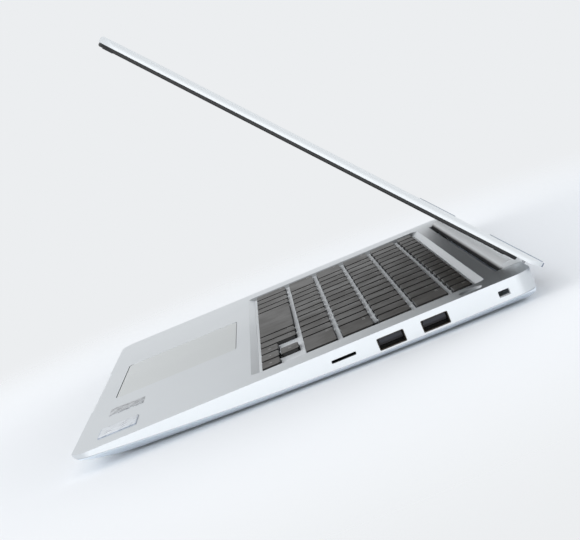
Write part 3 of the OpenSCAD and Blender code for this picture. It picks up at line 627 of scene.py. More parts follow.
@dataclass(frozen=True)
class BlastedMetal(Finish):
    """Fine bead-blasted metal under a thin clear coat."""

    colour: Triple
    metallic: float = 0.75
    rough: float = 0.3
    grain: float = 2600.0
    depth: float = 0.000004
    coat: float = 0.12

    def build(self) -> bpy.types.Material:
        """Makes the material from fine grain and broad patches.

        Returns:
            The finished material.
        """
        graph = self.graph()
        grain = graph.noise(self.grain, detail=2.0, roughness=0.6)
        cloud = graph.noise(scale=9.0, detail=3.0, roughness=0.55)
        tone = self.tone(graph, grain, cloud)
        rough = cloud.ramp(0.3, 0.7, self.rough - 0.03, self.rough + 0.03) + grain * 0.05
        return graph.surface(Base_Color=tone, Metallic=self.metallic,
                             Roughness=self.dulled(graph, rough),
                             Normal=graph.relief(grain, self.depth, strength=0.5),
                             Coat_Weight=self.coat, Coat_Roughness=0.2)

    def dulled(self, graph: Graph, rough: Wire) -> Wire:
        """Gives the roughness, here that of the plain metal."""
        return rough

    def tone(self, graph: Graph, grain: Wire, cloud: Wire) -> Wire:
        """Gives the colour, a little darker in patches.

        Args:
            graph: the material's nodes.
            grain: fine noise.
            cloud: broad noise.

        Returns:
            The colour.
        """
        return graph.blend(grain * 0.5 + cloud * 0.5, toned(self.colour, 0.93), self.colour)


@dataclass(frozen=True)
class MouldedPlastic(Finish):
    """Moulded plastic with a fine spark-eroded texture."""

    colour: Triple
    rough: float = 0.5
    grain: float = 1900.0
    depth: float = 0.00002
    lighter: float = 1.25

    def build(self) -> bpy.types.Material:
        """Makes the material from fine grain, pits and broad patches.

        Returns:
            The finished material.
        """
        graph = self.graph()
        grain = graph.noise(self.grain, detail=3.0, roughness=0.6)
        pits = graph.cells(self.grain * 0.7)
        cloud = graph.noise(scale=22.0, detail=2.0)
        tone = graph.blend(cloud * 0.6 + grain * 0.4, self.colour,
                           toned(self.colour, self.lighter))
        rough = grain.ramp(0.3, 0.7, self.rough - 0.06, self.rough + 0.06)
        relief = graph.relief(grain * 0.6 + pits * 0.4, self.depth, strength=0.6)
        return graph.surface(Base_Color=tone, Roughness=rough, Normal=relief)


@dataclass(frozen=True)
class KeyPlastic(Finish):
    """Black moulded key caps with a greyer, finely textured top; their near-black sides are
    painted shade.
    """

    # near-black side colour: painted shade for the sides of the caps, which lie in shadow
    side: Triple
    top: Triple
    rough: float = 0.36
    grain: float = 2300.0
    edge: float = 0.00014

    def build(self) -> bpy.types.Material:
        """Makes the material, with painted shade on the caps' sides below their upper edge.

        Returns:
            The finished material.
        """
        graph = self.graph()
        height = above_deck(graph, LAYOUT.cap_top)
        grain = graph.noise(self.grain, detail=3.0, roughness=0.6)
        worn = graph.noise(scale=55.0, detail=3.0, roughness=0.6)
        face = graph.blend(worn * 0.7 + grain * 0.3, self.top, toned(self.top, 1.3))
        # painted shade: below the upper edge the caps take the near-black side colour
        tone = graph.blend(height.ramp(-self.edge, -self.edge * 0.2), self.side, face)
        rough = worn.ramp(0.3, 0.7, self.rough - 0.05, self.rough + 0.05) + grain * 0.06
        return graph.surface(Base_Color=tone, Roughness=rough,
                             Normal=graph.relief(grain, depth=0.000012, strength=0.5))


@dataclass(frozen=True)
class WellMetal(BlastedMetal):
    """Satin metal with painted shade at the left side of the keyboard well, below the deck."""

    shade: float = 0.5
    edge: float = -0.1386
    wall: float = -0.15
    below: float = 0.00025
    blur: float = 0.0004

    def tone(self, graph: Graph, grain: Wire, cloud: Wire) -> Wire:
        """Gives the colour, with painted shade between the well's wall and its edge.

        Args:
            graph: the material's nodes.
            grain: fine noise.
            cloud: broad noise.

        Returns:
            The colour.
        """
        side = graph.axis("X")
        # painted shade: a darker copy of the metal on the well's left side, where the real
        # surface lies in shadow
        slope_shade = (side.ramp(self.edge, self.edge + self.blur, 1.0, 0.0)
                 * side.ramp(self.wall - self.blur, self.wall)
                 * above_deck(graph).ramp(-self.below, -self.below * 0.4, 1.0, 0.0))
        return graph.blend(slope_shade, super().tone(graph, grain, cloud),
                           toned(self.colour, self.shade))


@dataclass(frozen=True)
class CurlShadedMetal(BlastedMetal):
    """Satin metal round the hinge axis, with painted shade along the lower curl that turns into
    the gap.
    """

    # painted shade: near-black colour for the curl under the hinge cover, which lies in shadow
    curl_shade: Triple = (0.006, 0.006, 0.007)
    curl_shade_from: float = 166.0
    curl_shade_to: float = 180.0
    curl_shade_rough: float = 0.4

    def _unshaded(self, graph: Graph) -> Wire:
        """Gives zero on the painted shade of the lower curl and one on the unshaded metal.

        Args:
            graph: the material's nodes.

        Returns:
            The share of unshaded metal.
        """
        axis = (LAYOUT.deck() @ LAYOUT.axis).yz
        ahead = axis.x - graph.axis("Y")
        above = graph.axis("Z") - axis.y
        turn = graph.math("ARCTAN2", above, ahead) * (180 / math.pi)
        rest = LAYOUT.lid_open - LAYOUT.tilt
        return turn.ramp(180 - self.curl_shade_to + rest, 180 - self.curl_shade_from + rest)

    def tone(self, graph: Graph, grain: Wire, cloud: Wire) -> Wire:
        """Gives the colour, with near-black painted shade on the lower curl."""
        return graph.blend(self._unshaded(graph), self.curl_shade, super().tone(graph, grain, cloud))

    def dulled(self, graph: Graph, rough: Wire) -> Wire:
        """Gives the roughness, higher under the painted shade of the lower curl."""
        return rough + (1 - self._unshaded(graph)) * self.curl_shade_rough


@dataclass(frozen=True)
class LidMetal(BlastedMetal):
    """Satin metal with painted blue-grey shade across the lid's tail."""

    # painted shade: blue-grey colour for the band along the lid's tail, which lies in shade
    tail: Triple = (0.24, 0.28, 0.36)
    tail_shade_depth: float = 1.4
    blur: float = 0.0001

    def tone(self, graph: Graph, grain: Wire, cloud: Wire) -> Wire:
        """Gives the colour, with painted shade across the lid close to its rear edge.

        Args:
            graph: the material's nodes.
            grain: fine noise.
            cloud: broad noise.

        Returns:
            The colour.
        """
        lid = LAYOUT.lid()
        ahead = (lid.to_3x3() @ Vector((0, 1, 0))).normalized()
        start = (lid @ Vector((0, LAYOUT.lid_back - self.tail_shade_depth, 0))).dot(ahead)
        along = graph.axis("Y") * ahead.y + graph.axis("Z") * ahead.z
        # painted shade: beyond this line the metal takes the blue-grey tail colour
        share = along.ramp(start - self.blur, start + self.blur)
        return graph.blend(share, super().tone(graph, grain, cloud), self.tail)


@dataclass(frozen=True)
class Rubber(Finish):
    """Dull rubber with dust in its pores."""

    colour: Triple

    def build(self) -> bpy.types.Material:
        """Makes the material from pores and patches of dust.

        Returns:
            The finished material.
        """
        graph = self.graph()
        dust = graph.noise(scale=60.0, detail=4.0, roughness=0.65)
        tone = graph.blend(dust.ramp(0.45, 0.75), self.colour,
                           toned(self.colour, 1.8, lift=0.02))
        relief = graph.relief(graph.cells(scale=1500.0), depth=0.00003, strength=0.7)
        return graph.surface(Base_Color=tone, Roughness=dust.ramp(0.2, 0.8, 0.72, 0.9),
                             Normal=relief)


@dataclass(frozen=True)
class BrushedMetal(Finish):
    """Rolled or brushed metal with fine lines along one axis."""

    colour: Triple
    rough: float = 0.34
    stretch: Triple = (12.0, 900.0, 900.0)

    def build(self) -> bpy.types.Material:
        """Makes the material from stretched noise.

        Returns:
            The finished material.
        """
        graph = self.graph()
        lines = graph.noise(scale=3.0, detail=4.0, roughness=0.7, stretch=self.stretch)
        cloud = graph.noise(scale=70.0, detail=2.0)
        tone = graph.blend(lines, toned(self.colour, 0.78), self.colour)
        rough = lines.ramp(0.25, 0.75, self.rough - 0.08, self.rough + 0.08) + cloud * 0.06
        return graph.surface(Base_Color=tone, Metallic=1.0, Roughness=rough,
                             Normal=graph.relief(lines, depth=0.00001, strength=0.5))


@dataclass(frozen=True)
class ScreenGlass(Finish):
    """Dark display under an anti-glare film, with its fine dot grid."""

    colour: Triple
    pitch: float = 0.000161

    def build(self) -> bpy.types.Material:
        """Makes the material from the dots, the film and some smears.

        Returns:
            The finished material.
        """
        graph = self.graph()
        wave = graph.math("SINE", graph.axis("X") * (math.pi / self.pitch))
        dots = graph.math("ABSOLUTE", wave)
        film = graph.noise(scale=5200.0, detail=2.0)
        smear = graph.noise(scale=14.0, detail=4.0, roughness=0.6)
        tone = graph.blend(dots * 0.5 + smear * 0.3, self.colour,
                           toned(self.colour, 1.5, lift=0.002))
        return graph.surface(Base_Color=tone, Roughness=smear.ramp(0.3, 0.7, 0.16, 0.24),
                             Normal=graph.relief(film, depth=0.000004, strength=0.4),
                             Coat_Weight=0.5, Coat_Roughness=0.12)


@dataclass(frozen=True)
class CircuitBoard(Finish):
    """Solder mask over copper tracks."""

    colour: Triple
    pad: Triple = (0.62, 0.58, 0.42)

    def build(self) -> bpy.types.Material:
        """Makes the material from tracks and pads.

        Returns:
            The finished material.
        """
        graph = self.graph()
        tracks = graph.cells(scale=420.0, feature="DISTANCE_TO_EDGE").ramp(0.02, 0.06, 1.0, 0.0)
        pads = graph.cells(scale=900.0).ramp(0.12, 0.16, 1.0, 0.0)
        mask = graph.blend(tracks, self.colour, toned(self.colour, 1.9))
        return graph.surface(Base_Color=graph.blend(pads * 0.8, mask, self.pad),
                             Roughness=pads.ramp(0.0, 1.0, 0.34, 0.22),
                             Normal=graph.relief(tracks + pads, depth=0.00003, strength=0.6))


@dataclass(frozen=True)
class PrintedInk(Finish):
    """Pale printed characters with slightly worn edges."""

    colour: Triple

    def build(self) -> bpy.types.Material:
        """Makes the material from fine wear.

        Returns:
            The finished material.
        """
        graph = self.graph()
        wear = graph.noise(scale=3200.0, detail=3.0, roughness=0.7)
        tone = graph.blend(wear.ramp(0.35, 0.6), toned(self.colour, 0.72), self.colour)
        return graph.surface(Base_Color=tone, Roughness=wear.ramp(0.3, 0.7, 0.5, 0.62),
                             Normal=graph.relief(wear, depth=0.000004, strength=0.5))


@dataclass(frozen=True)
class EtchedPlate(Finish):
    """A bare self-adhesive foil plate with an all-over woven relief."""

    low: Triple
    high: Triple
    weave: float = 5400.0
    metallic: float = 0.6

    def build(self) -> bpy.types.Material:
        """Makes the material from a weave and clouds.

        Returns:
            The finished material.
        """
        graph = self.graph()
        across, along = (graph.math("SINE", graph.axis(name) * self.weave) for name in "XY")
        weave = (across * along).ramp(-0.4, 0.4)
        cloud = graph.noise(scale=260.0, detail=3.0, roughness=0.6)
        tone = graph.blend(cloud.ramp(0.38, 0.6) * 0.8 + weave * 0.2, self.low, self.high)
        return graph.surface(Base_Color=tone, Metallic=self.metallic,
                             Roughness=cloud.ramp(0.3, 0.7, 0.26, 0.4),
                             Normal=graph.relief(weave, depth=0.00002, strength=0.5))


class Look(Enum):
    """The named finishes of the laptop."""

    CASE = WellMetal("case_silver", linear("D9DDE0"), metallic=0.8, rough=0.32)
    LID = LidMetal("lid_silver", linear("E8EBED"), metallic=0.8, rough=0.62)
    WEB = BlastedMetal("web_silver", linear("EEF1F3"), metallic=0.0, rough=0.5)
    HINGE = CurlShadedMetal("hinge_silver", linear("F4F6F7"), metallic=0.0, rough=0.55, coat=0.0)
    COVER = BlastedMetal("cover_silver", linear("E6EEF6"), metallic=0.35, rough=0.42,
                         grain=1800.0, depth=0.000006)
    PAD = BlastedMetal("touchpad_film", linear("D6D9D8"), metallic=0.55, rough=0.36,
                       grain=3600.0, depth=0.000003)
    LOCK = BlastedMetal("lock_steel", linear("F0F1F2"), metallic=0.1, rough=0.5,
                        grain=900.0, depth=0.000012)
    BEZEL = MouldedPlastic("bezel_black", linear("0C0D0F"))
    KEYS = KeyPlastic("keycap_black", linear("080808"), linear("2B261F"), rough=0.42)
    CHIP = MouldedPlastic("chip_black", linear("232325"), rough=0.45, grain=900.0)
    FAN = MouldedPlastic("fan_black", linear("1B1B1C"), grain=700.0)
    CELL = MouldedPlastic("battery_black", linear("1E1F21"), rough=0.42, grain=300.0,
                          depth=0.00006)
    SOCKET = MouldedPlastic("socket_black", linear("17181A"), rough=0.36, grain=1200.0)
    TONGUE = MouldedPlastic("socket_blue", linear("0B1020"), rough=0.4, grain=1200.0)
    ANTENNA = MouldedPlastic("antenna_grey", linear("939CA6"), rough=0.45, grain=1500.0)
    FEET = Rubber("rubber_grey", linear("3B3C3E"))
    DOME = Rubber("dome_rubber", linear("D8D8D2"))
    STEEL = BrushedMetal("steel", linear("B9BABD"))
    SCREW = BrushedMetal("screw_steel", linear("8E8F92"), rough=0.3,
                         stretch=(500.0, 500.0, 500.0))
    SHELL_DARK = BrushedMetal("shell_bronze", linear("55504A"), rough=0.35,
                              stretch=(500.0, 20.0, 500.0))
    SHELL = BrushedMetal("socket_metal", linear("C8CACD"), rough=0.22,
                         stretch=(500.0, 20.0, 500.0))
    COPPER = BrushedMetal("copper", linear("C98A63"), rough=0.36,
                          stretch=(40.0, 700.0, 700.0))
    CONTACT = BrushedMetal("contact_gold", linear("E2BE74"), rough=0.26,
                           stretch=(60.0, 800.0, 800.0))
    BOARD = CircuitBoard("board_green", linear("1F4D36"))
    SCREEN = ScreenGlass("display_glass", linear("101215"))
    INK = PrintedInk("legend_ink", linear("B4B3B0"))
    PLATE_DARK = EtchedPlate("plate_dark", linear("6F7277"), linear("D2D5D8"))
    PLATE_BACK = EtchedPlate("plate_backing", linear("8E99A8"), linear("B9C2CE"),
                             weave=3000.0, metallic=0.1)
    PLATE_PALE = EtchedPlate("plate_pale", linear("C9CED4"), linear("E6EAEE"),
                             weave=3000.0, metallic=0.3)


class Paintbox:
    """Builds each finish once and hands it out."""

    def __init__(self) -> None:
        """Starts with no finish made."""
        self.made: dict[Look, bpy.types.Material] = {}

    def get(self, look: Look) -> bpy.types.Material:
        """Gives the material of a finish.

        Args:
            look: the finish.

        Returns:
            The material.
        """
        if look not in self.made:
            self.made[look] = look.value.build()
        return self.made[look]

    def paint(self, obj: bpy.types.Object, look: Look) -> None:
        """Puts a finish on an object.

        Args:
            obj: the object.
            look: the finish.
        """
        material = self.get(look)
        if not obj.material_slots:
            obj.data.materials.append(material)
        for slot in obj.material_slots:
            slot.material = material


# ---------- the CAD nodes ----------

CAD_LOOKS: dict[Look, tuple[str, ...]] = {
    Look.CASE: ("top_case", "power_button"),
    Look.LID: ("lid_cover",),
    Look.HINGE: ("hinge_cover",),
    Look.WEB: ("keyboard_frame",),
    Look.COVER: ("bottom_cover",),
    Look.PAD: ("touchpad",),
    Look.BEZEL: ("display_bezel",),
    Look.SCREEN: ("display_panel",),
    Look.CHIP: ("webcam_module", "processor", "speakers"),
    Look.FAN: ("fan_housing", "fan_rotor"),
    Look.CELL: ("battery_pack",),
    Look.SOCKET: ("power_jack", "audio_jack", "card_reader"),
    Look.TONGUE: ("usb_tongues",),
    Look.FEET: ("front_feet", "rear_foot", "lid_bumpers"),
    Look.DOME: ("key_domes",),
    Look.STEEL: ("hinge_lid_brackets", "hinge_base_brackets", "hinge_pins", "keyboard_plate",
                 "touchpad_bracket"),
    Look.LOCK: ("lock_plate",),
    Look.SCREW: ("cover_screws", "hinge_screws"),
    Look.SHELL: ("hdmi_socket", "usb_c_socket"),
    Look.SHELL_DARK: ("usb_shells",),
    Look.COPPER: ("heat_pipe", "heat_sink"),
    Look.BOARD: ("motherboard", "storage_module", "memory_module", "wireless_card"),
}


def dress_nodes(frame: dict, paints: Paintbox) -> None:
    """Puts a finish on every CAD node.

    Args:
        frame: the loaded frame.
        paints: the finishes.
    """
    looks = {node: look for look, nodes in CAD_LOOKS.items() for node in nodes}
    for name, obj in frame["nodes"].items():
        look = looks.get(name, Look.KEYS)
        paints.paint(obj, look)
        log.info("finish %-20s on %s", look.value.name, name)


# ---------- keyboard legends ----------


@dataclass(frozen=True)
class KeyRow:
    """Neighbouring keys of one row that move together."""

    node: str
    row: int
    start: float
    labels: tuple[str, ...]
    units: tuple[float, ...]

    def cells(self) -> Iterator[tuple[str, float, float]]:
        """Gives each key of the row.

        Returns:
            The label, the left edge and the width of one key after another, in key units.
        """
        start = self.start
        for label, units in zip(self.labels, self.units):
            yield label, start, units
            start += units


@dataclass(frozen=True)
class ArrowKey:
    """One of the four cursor keys, which are half as deep as the front row."""

    name: str
    column: int
    upper: bool
    turn: float


def letters(text: str) -> tuple[str, ...]:
    """Splits labels at their spaces and sets each pair of signs on two lines.

    Args:
        text: the labels; a lone underscore stands for a bare key.

    Returns:
        One string for each key.
    """
    return tuple("" if word == "_" else word if word.isalpha() else "\n".join(word)
                 for word in text.split(" "))


KEY_ROWS: tuple[KeyRow, ...] = (
    KeyRow("keys_modifier_left", 0, 0.0, letters("ctrl fn _ alt"), (1.15, 1.05, 1.1, 1.0)),
    KeyRow("keys_modifier_right", 0, 9.3, letters("alt ctrl"), (1.0, 0.95)),
    KeyRow("key_shift_left", 1, 0.0, letters("shift"), (2.25,)),
    KeyRow("keys_lower_row", 1, 2.25, letters("Z X C V B N M <, >. ?/"), (1.0,) * 10),
    KeyRow("key_shift_right", 1, 12.25, letters("shift"), (2.25,)),
    KeyRow("key_caps_lock", 2, 0.0, letters("caps"), (1.75,)),
    KeyRow("keys_home_row", 2, 1.75, letters("A S D F G H J K L :; \"'"), (1.0,) * 11),
    KeyRow("key_enter", 2, 12.75, letters("enter"), (1.75,)),
    KeyRow("key_tab", 3, 0.0, letters("tab"), (1.5,)),
    KeyRow("keys_upper_row", 3, 1.5, letters("Q W E R T Y U I O P {[ }] |\\"), (1.0,) * 13),
    KeyRow("keys_number_row", 4, 0.0, letters("~` !1 @2 #3 $4 %5 ^6 &7 *8 (9 )0 _- +="),
           (1.0,) * 13),
    KeyRow("key_backspace", 4, 13.0, letters("back"), (1.5,)),
)
FUNCTION_KEYS: tuple[str, ...] = (
    "esc", *(f"f{number}" for number in range(1, 13)), "prt", "ins", "del",
)
ARROW_KEYS: tuple[ArrowKey, ...] = (
    ArrowKey("left", 0, False, 180.0),
    ArrowKey("down", 1, False, 270.0),
    ArrowKey("right", 2, False, 0.0),
    ArrowKey("up", 1, True, 90.0),
)


@dataclass
class Assembly:
    """What every dressed sub-assembly shares."""

    layout: Layout
    paints: Paintbox

    def _set(self, piece: bpy.types.Object, place: Matrix, look: Look) -> None:
        """Moves a piece to its place and finishes it.

        Args:
            piece: the piece in its own frame.
            place: matrix from that frame to the frame of the solids.
            look: the finish.
        """
        Modeller.settle(piece, place)
        self.paints.paint(piece, look)
        log.info("set %s", piece.name)


@dataclass
class Legends(Assembly):
    """The printed characters on the key caps."""

    lift: float = 0.02
    inset: tuple[float, float] = (2.8, 3.0)
    letter: float = 4.4
    pair: float = 3.255
    word: float = 3.1
    function: float = 2.8
    function_inset: float = 2.6
    arrow: float = 1.3
    arrow_rear: float = 0.27
    arrow_front: float = 0.73

    def _corner(self, row: int, start: float) -> Vector:
        """Gives the rear left corner of a cell.

        Args:
            row: row number from the front.
            start: distance from the left end in key units.

        Returns:
            The corner in deck millimetres, at the height of the cap's face.
        """
        lay = self.layout
        left = (start - lay.row_units / 2) * lay.pitch
        return Vector((left, lay.row_back(row), lay.cap_top + self.lift))

    def _label(self, text: str, corner: Vector) -> bpy.types.Object:
        """Makes the lettering of one key.

        Args:
            text: the characters.
            corner: rear left corner of the key's cell.

        Returns:
            The lettering.
        """
        size = self.letter if len(text) == 1 else self.pair if "\n" in text else self.word
        inset = Vector((self.inset[0], -self.inset[1], 0))
        return Modeller.lettering(text, corner + inset, size)

    def _finish(self, node: str, parts: list[bpy.types.Object]) -> None:
        """Joins the lettering of one body and sets it on its keys.

        Args:
            node: CAD node that carries the lettering.
            parts: the separate labels.
        """
        piece = Modeller.join("legend_" + node.split("_", 1)[1], parts)
        self._set(piece, self.layout.deck(), Look.INK)
        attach(piece, "cap_" + node.split("_", 1)[1])

    def build(self) -> None:
        """Prints the legends of every key."""
        for keys in KEY_ROWS:
            parts = [self._label(text, self._corner(keys.row, start))
                     for text, start, _ in keys.cells() if text]
            self._finish(keys.node, parts)
        self._functions()
        self._arrows()

    def _functions(self) -> None:
        """Prints the legends of the function row."""
        lay = self.layout
        wide = lay.row_units * lay.pitch
        step = wide / len(FUNCTION_KEYS)
        back = lay.row_back(lay.last_row) + lay.function_share * lay.pitch
        parts = []
        for place, name in enumerate(FUNCTION_KEYS):
            at = Vector((place * step - wide / 2 + self.function_inset,
                         back - self.function_inset, lay.cap_top + self.lift))
            parts.append(Modeller.lettering(name, at, self.function))
        self._finish("key_escape", parts[:1])
        self._finish("keys_function_row", parts[1:])

    def _arrows(self) -> None:
        """Prints the arrows of the four cursor keys."""
        for key in ARROW_KEYS:
            middle = self._corner(0, self.layout.arrow_middle(key.column))
            middle.y -= self.layout.front_row * (self.arrow_rear if key.upper
                                                 else self.arrow_front)
            self._finish("key_arrow_" + key.name,
                         [Modeller.triangle(middle, self.arrow, key.turn)])


# ---------- rubber domes ----------


@dataclass
class Domes(Assembly):
    """The rubber domes under the keys."""

    foot: float = -4.4
    height: float = 3.35
    travel: float = 1.35
    rings: tuple[tuple[float, float], ...] = ((2.6, 0.0), (2.4, 0.5), (1.3, 0.75), (1.3, 1.0))

    def _middle(self, row: int, start: float) -> Vector:
        """Gives the foot of a dome in deck millimetres.

        Args:
            row: row number from the front.
            start: distance of the key's middle from the left end in key units.

        Returns:
            The foot of the dome.
        """
        lay = self.layout
        deep = lay.pitch if row else lay.front_row
        return Vector(((start - lay.row_units / 2) * lay.pitch, lay.row_back(row) - deep / 2,
                       self.foot))

    def _spots(self) -> dict[str, list[Vector]]:
        """Lists the domes of every key node.

        Returns:
            The feet of the domes, by the name of the CAD node above them.
        """
        lay = self.layout
        spots = {"key_space": [self._middle(0, lay.space_middle)]}
        for keys in KEY_ROWS:
            spots[keys.node] = [self._middle(keys.row, start + units / 2)
                                for _, start, units in keys.cells()]
        step = lay.row_units / len(FUNCTION_KEYS)
        row = [self._middle(lay.last_row, (place + 0.5) * step)
               for place in range(len(FUNCTION_KEYS))]
        for spot in row:
            spot.y = lay.row_back(lay.last_row) + lay.function_share * lay.pitch / 2
        spots["key_escape"], spots["keys_function_row"] = row[:1], row[1:]
        for key in ARROW_KEYS:
            spot = self._middle(0, lay.arrow_middle(key.column))
            spot.y += lay.front_row * (0.25 if key.upper else -0.25)
            spots["key_arrow_" + key.name] = [spot]
        return spots

    def build(self) -> None:
        """Sets one piece of domes under each key or group of keys."""
        deck = self.layout.deck()
        shape = Modeller.stack("dome", [(radius, share * self.height)
                                        for radius, share in self.rings])
        for node, spots in self._spots().items():
            parts = []
            for spot in spots:
                part = shape.copy()
                part.data = shape.data.copy()
                part.location = spot
                bpy.context.scene.collection.objects.link(part)
                parts.append(part)
            kind, rest = node.split("_", 1)
            piece = Modeller.join("dome_" + rest, parts)
            self._set(piece, deck, Look.DOME)
            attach(piece, "base")
            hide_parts("key_domes")
            rest + ("_keys_press" if kind == "keys" else "_press")
            deck @ spots[0]
            1 - self.travel / self.height
            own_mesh(piece)
        bpy.data.objects.remove(shape)


# ---------- small parts ----------


@dataclass(frozen=True)
class FoilPlate:
    """One layer of a foil plate, in deck millimetres."""

    name: str
    look: Look
    middle: tuple[float, float]
    size: tuple[float, float]
    low: float
    height: float


@dataclass
class PalmPlates(Assembly):
    """Two bare foil plates near the front of the palm rest."""

    corner: float = 1.2
    edge: float = 0.12
    layers: tuple[FoilPlate, ...] = (
        FoilPlate("plate_inner", Look.PLATE_DARK, (83.0, -93.0), (18.0, 19.0), 0.0, 0.12),
        FoilPlate("plate_backing", Look.PLATE_BACK, (133.0, -93.5), (22.0, 20.0), 0.0, 0.26),
        FoilPlate("plate_outer", Look.PLATE_PALE, (132.7, -93.5), (20.8, 19.0), 0.26, 0.06),
    )

    def build(self) -> None:
        """Sets both plates on the deck."""
        for layer in self.layers:
            plate = Modeller.plate(layer.name, layer.size, layer.height, self.corner,
                                   self.edge)
            spot = Matrix.Translation((*layer.middle, layer.low))
            self._set(plate, self.layout.deck() @ spot, layer.look)
            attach(plate, "base")


@dataclass
class SocketContacts(Assembly):
    """Gold contacts on the tongues of the type A sockets."""

    rows: tuple[float, ...] = (43.1, 65.0)
    offsets: tuple[float, ...] = (-3.5, -1.0, 1.0, 3.5)
    side: float = 156.2
    drop: float = 5.8
    size: tuple[float, float] = (7.0, 1.0)
    height: float = 0.05
    corner: float = 0.2
    edge: float = 0.08

    def build(self) -> None:
        """Lays four contacts under each tongue."""
        over = Matrix.Rotation(math.pi, 4, "X")
        parts = []
        for middle in (row + offset for row in self.rows for offset in self.offsets):
            strip = Modeller.plate("contact", self.size, self.height, self.corner, self.edge)
            spot = Matrix.Translation((self.side, middle, -self.drop))
            parts.append(Modeller.settle(strip, spot @ over))
        piece = Modeller.join("usb_contacts", parts)
        self._set(piece, self.layout.deck(), Look.CONTACT)
        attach(piece, "base")


@dataclass
class AntennaCovers(Assembly):
    """Raised plastic covers at both ends of the lid's tail."""

    size: tuple[float, float] = (30.0, 23.0)
    height: float = 0.3
    corner: float = 2.0
    edge: float = 0.2
    from_side: float = 3.0
    from_back: float = 1.6

    def build(self) -> None:
        """Lays the covers on the outer face of the lid."""
        lay = self.layout
        out = lay.width / 2 - self.from_side - self.size[0] / 2
        along = lay.lid_back - self.from_back - self.size[1] / 2
        for name, side in (("antenna_cover_left", -out), ("antenna_cover_right", out)):
            cover = Modeller.plate(name, self.size, self.height, self.corner, self.edge)
            spot = Matrix.Translation((side, along, lay.lid_top))
            self._set(cover, lay.lid() @ spot, Look.ANTENNA)
            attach(cover, "lid")


@dataclass
class Webcam(Assembly):
    """Lens of the webcam in the display bezel."""

    radius: float = 1.35
    height: float = 0.05
    rim: float = 0.3
    along: float = -109.0
    face: float = 0.74

    def build(self) -> None:
        """Sets the lens on the camera module, facing the user."""
        lens = Modeller.disc("webcam_lens", self.radius, self.height, self.rim)
        spot = Matrix.Translation((0, self.along, self.face))
        self._set(lens, self.layout.lid() @ spot @ Matrix.Rotation(math.pi, 4, "X"),
                  Look.SCREEN)
        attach(lens, "lid")


# ---------- studio ----------


@dataclass(frozen=True)
class Softbox:
    """One soft rectangular light, in metres and watts."""

    name: str
    at: Triple
    target: Triple
    size: tuple[float, float]
    power: float
    mirrored: bool = True

    def hang(self) -> None:
        """Adds the light to the scene and turns it to its target."""
        data = bpy.data.lights.new(self.name, "AREA")
        data.shape = "RECTANGLE"
        data.size, data.size_y = self.size
        data.energy = self.power
        lamp = bpy.data.objects.new(self.name, data)
        bpy.context.scene.collection.objects.link(lamp)
        lamp.location = self.at
        lamp.visible_glossy = self.mirrored
        aim = Vector(self.target) - Vector(self.at)
        lamp.rotation_euler = aim.to_track_quat("-Z", "Y").to_euler()


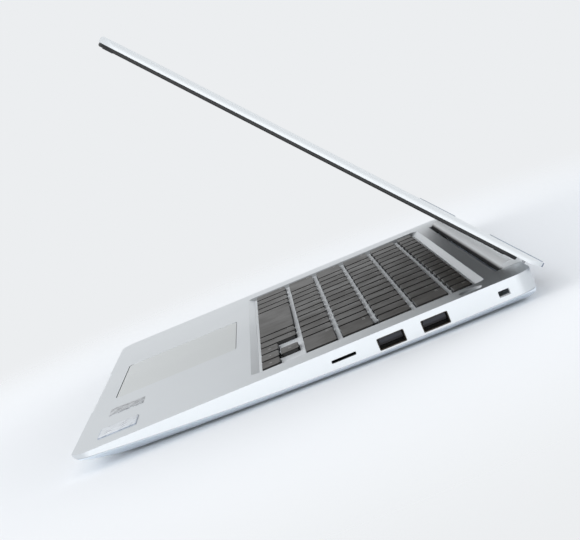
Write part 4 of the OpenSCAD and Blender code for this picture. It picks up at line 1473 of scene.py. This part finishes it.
@dataclass
class Studio:
    """Floor, light and camera; the camera's place is in deck millimetres."""

    layout: Layout
    backdrop: Triple = linear("ECEEF0")
    floor: Triple = linear("F6F7F8")
    floor_radius: float = 2.4
    fade_from: float = 0.2
    fade_to: float = 0.5
    sky: Triple = (0.93, 0.96, 1.0)
    ambient: float = 0.86
    lights: tuple[Softbox, ...] = (
        Softbox("key_light", (0.1, -1.3, 0.7), (0.0, 0.05, 0.02), (2.6, 1.6), 13.0,
                mirrored=False),
        Softbox("side_light", (1.9, 0.0, 0.2), (0.1, 0.0, 0.0), (1.8, 0.5), 8.3),
        Softbox("rear_light", (-0.6, 1.3, 1.1), (0.0, 0.0, 0.05), (1.4, 0.8), 1.5),
    )
    camera_spot: Triple = (856.1, 20.6, 119.6)
    camera_right: Triple = (0.0312, 0.9244, -0.3802)
    camera_down: Triple = (0.1075, -0.3812, -0.9182)
    camera_ahead: Triple = (-0.9937, -0.0122, -0.1113)
    sensor: float = 36.0
    focal_pixels: float = 1523.1
    frame_pixels: float = 580.0

    def build(self) -> None:
        """Sets up everything that isn't part of the laptop."""
        self._floor()
        self._world()
        for light in self.lights:
            light.hang()
        self._camera()
        bpy.context.scene.view_settings.view_transform = "Standard"
        log.info("studio ready")

    def _floor(self) -> None:
        """Lays a pale floor that fades into the backdrop."""
        bpy.ops.object.select_all(action="DESELECT")
        bpy.ops.mesh.primitive_circle_add(vertices=96, radius=self.floor_radius,
                                          fill_type="NGON")
        floor = bpy.context.object
        floor.name = "floor"
        graph = Graph(bpy.data.materials.new("floor"))
        near = graph.add("ShaderNodeBsdfDiffuse", 0, {}, {"Color": (*self.floor, 1.0)})
        clear = graph.add("ShaderNodeBsdfTransparent", 0)
        length = graph.add("ShaderNodeVectorMath", "Value", {"operation": "LENGTH"},
                           {0: graph.place()})
        mixed = graph.add("ShaderNodeMixShader", 0, {},
                          {0: length.ramp(self.fade_from, self.fade_to), 1: near, 2: clear})
        graph.node("ShaderNodeOutputMaterial", {}, {"Surface": mixed})
        floor.data.materials.append(graph.owner)

    def _world(self) -> None:
        """Lights the scene softly and shows a pale backdrop to camera and reflections."""
        graph = Graph(bpy.data.worlds.new("studio"))
        rays = graph.node("ShaderNodeLightPath")
        seen, *mirrored = (Wire(graph, rays.outputs[kind]) for kind in
                           ("Is Camera Ray", "Is Glossy Ray", "Is Transmission Ray"))
        for kind in mirrored:
            seen = graph.math("MAXIMUM", seen, kind)
        light = graph.add("ShaderNodeBackground", 0, {},
                          {"Color": (*self.sky, 1.0), "Strength": self.ambient})
        shown = graph.add("ShaderNodeBackground", 0, {}, {"Color": (*self.backdrop, 1.0)})
        mixed = graph.add("ShaderNodeMixShader", 0, {}, {0: seen, 1: light, 2: shown})
        graph.node("ShaderNodeOutputWorld", {}, {"Surface": mixed})
        bpy.context.scene.world = graph.owner

    def _camera(self) -> None:
        """Places the camera from its axes in the deck frame."""
        data = bpy.data.cameras.new("camera")
        data.sensor_width = self.sensor
        data.lens = self.sensor * self.focal_pixels / self.frame_pixels
        data.clip_start = 0.01
        camera = bpy.data.objects.new("camera", data)
        bpy.context.scene.collection.objects.link(camera)
        axes = (Vector(self.camera_right), -Vector(self.camera_down),
                -Vector(self.camera_ahead))
        turn = Matrix(axes).transposed().to_4x4()
        tilt = Matrix.Rotation(math.radians(self.layout.tilt), 4, "X")
        spot = self.layout.deck() @ Vector(self.camera_spot)
        camera.matrix_world = Matrix.Translation(spot) @ tilt @ turn
        bpy.context.scene.camera = camera


# ---------- building in order ----------


def main() -> None:
    """Loads the frame, dresses it and sets up the studio."""
    logging.basicConfig(level=logging.INFO, format="%(name)s: %(message)s")
    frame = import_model()
    paints = Paintbox()
    dress_nodes(frame, paints)
    for assembly in (Legends, Domes, PalmPlates, SocketContacts, Webcam, AntennaCovers):
        assembly(LAYOUT, paints).build()
        log.info("built %s", assembly.__name__)
    Studio(LAYOUT).build()


if __name__ == "__main__":
    main()
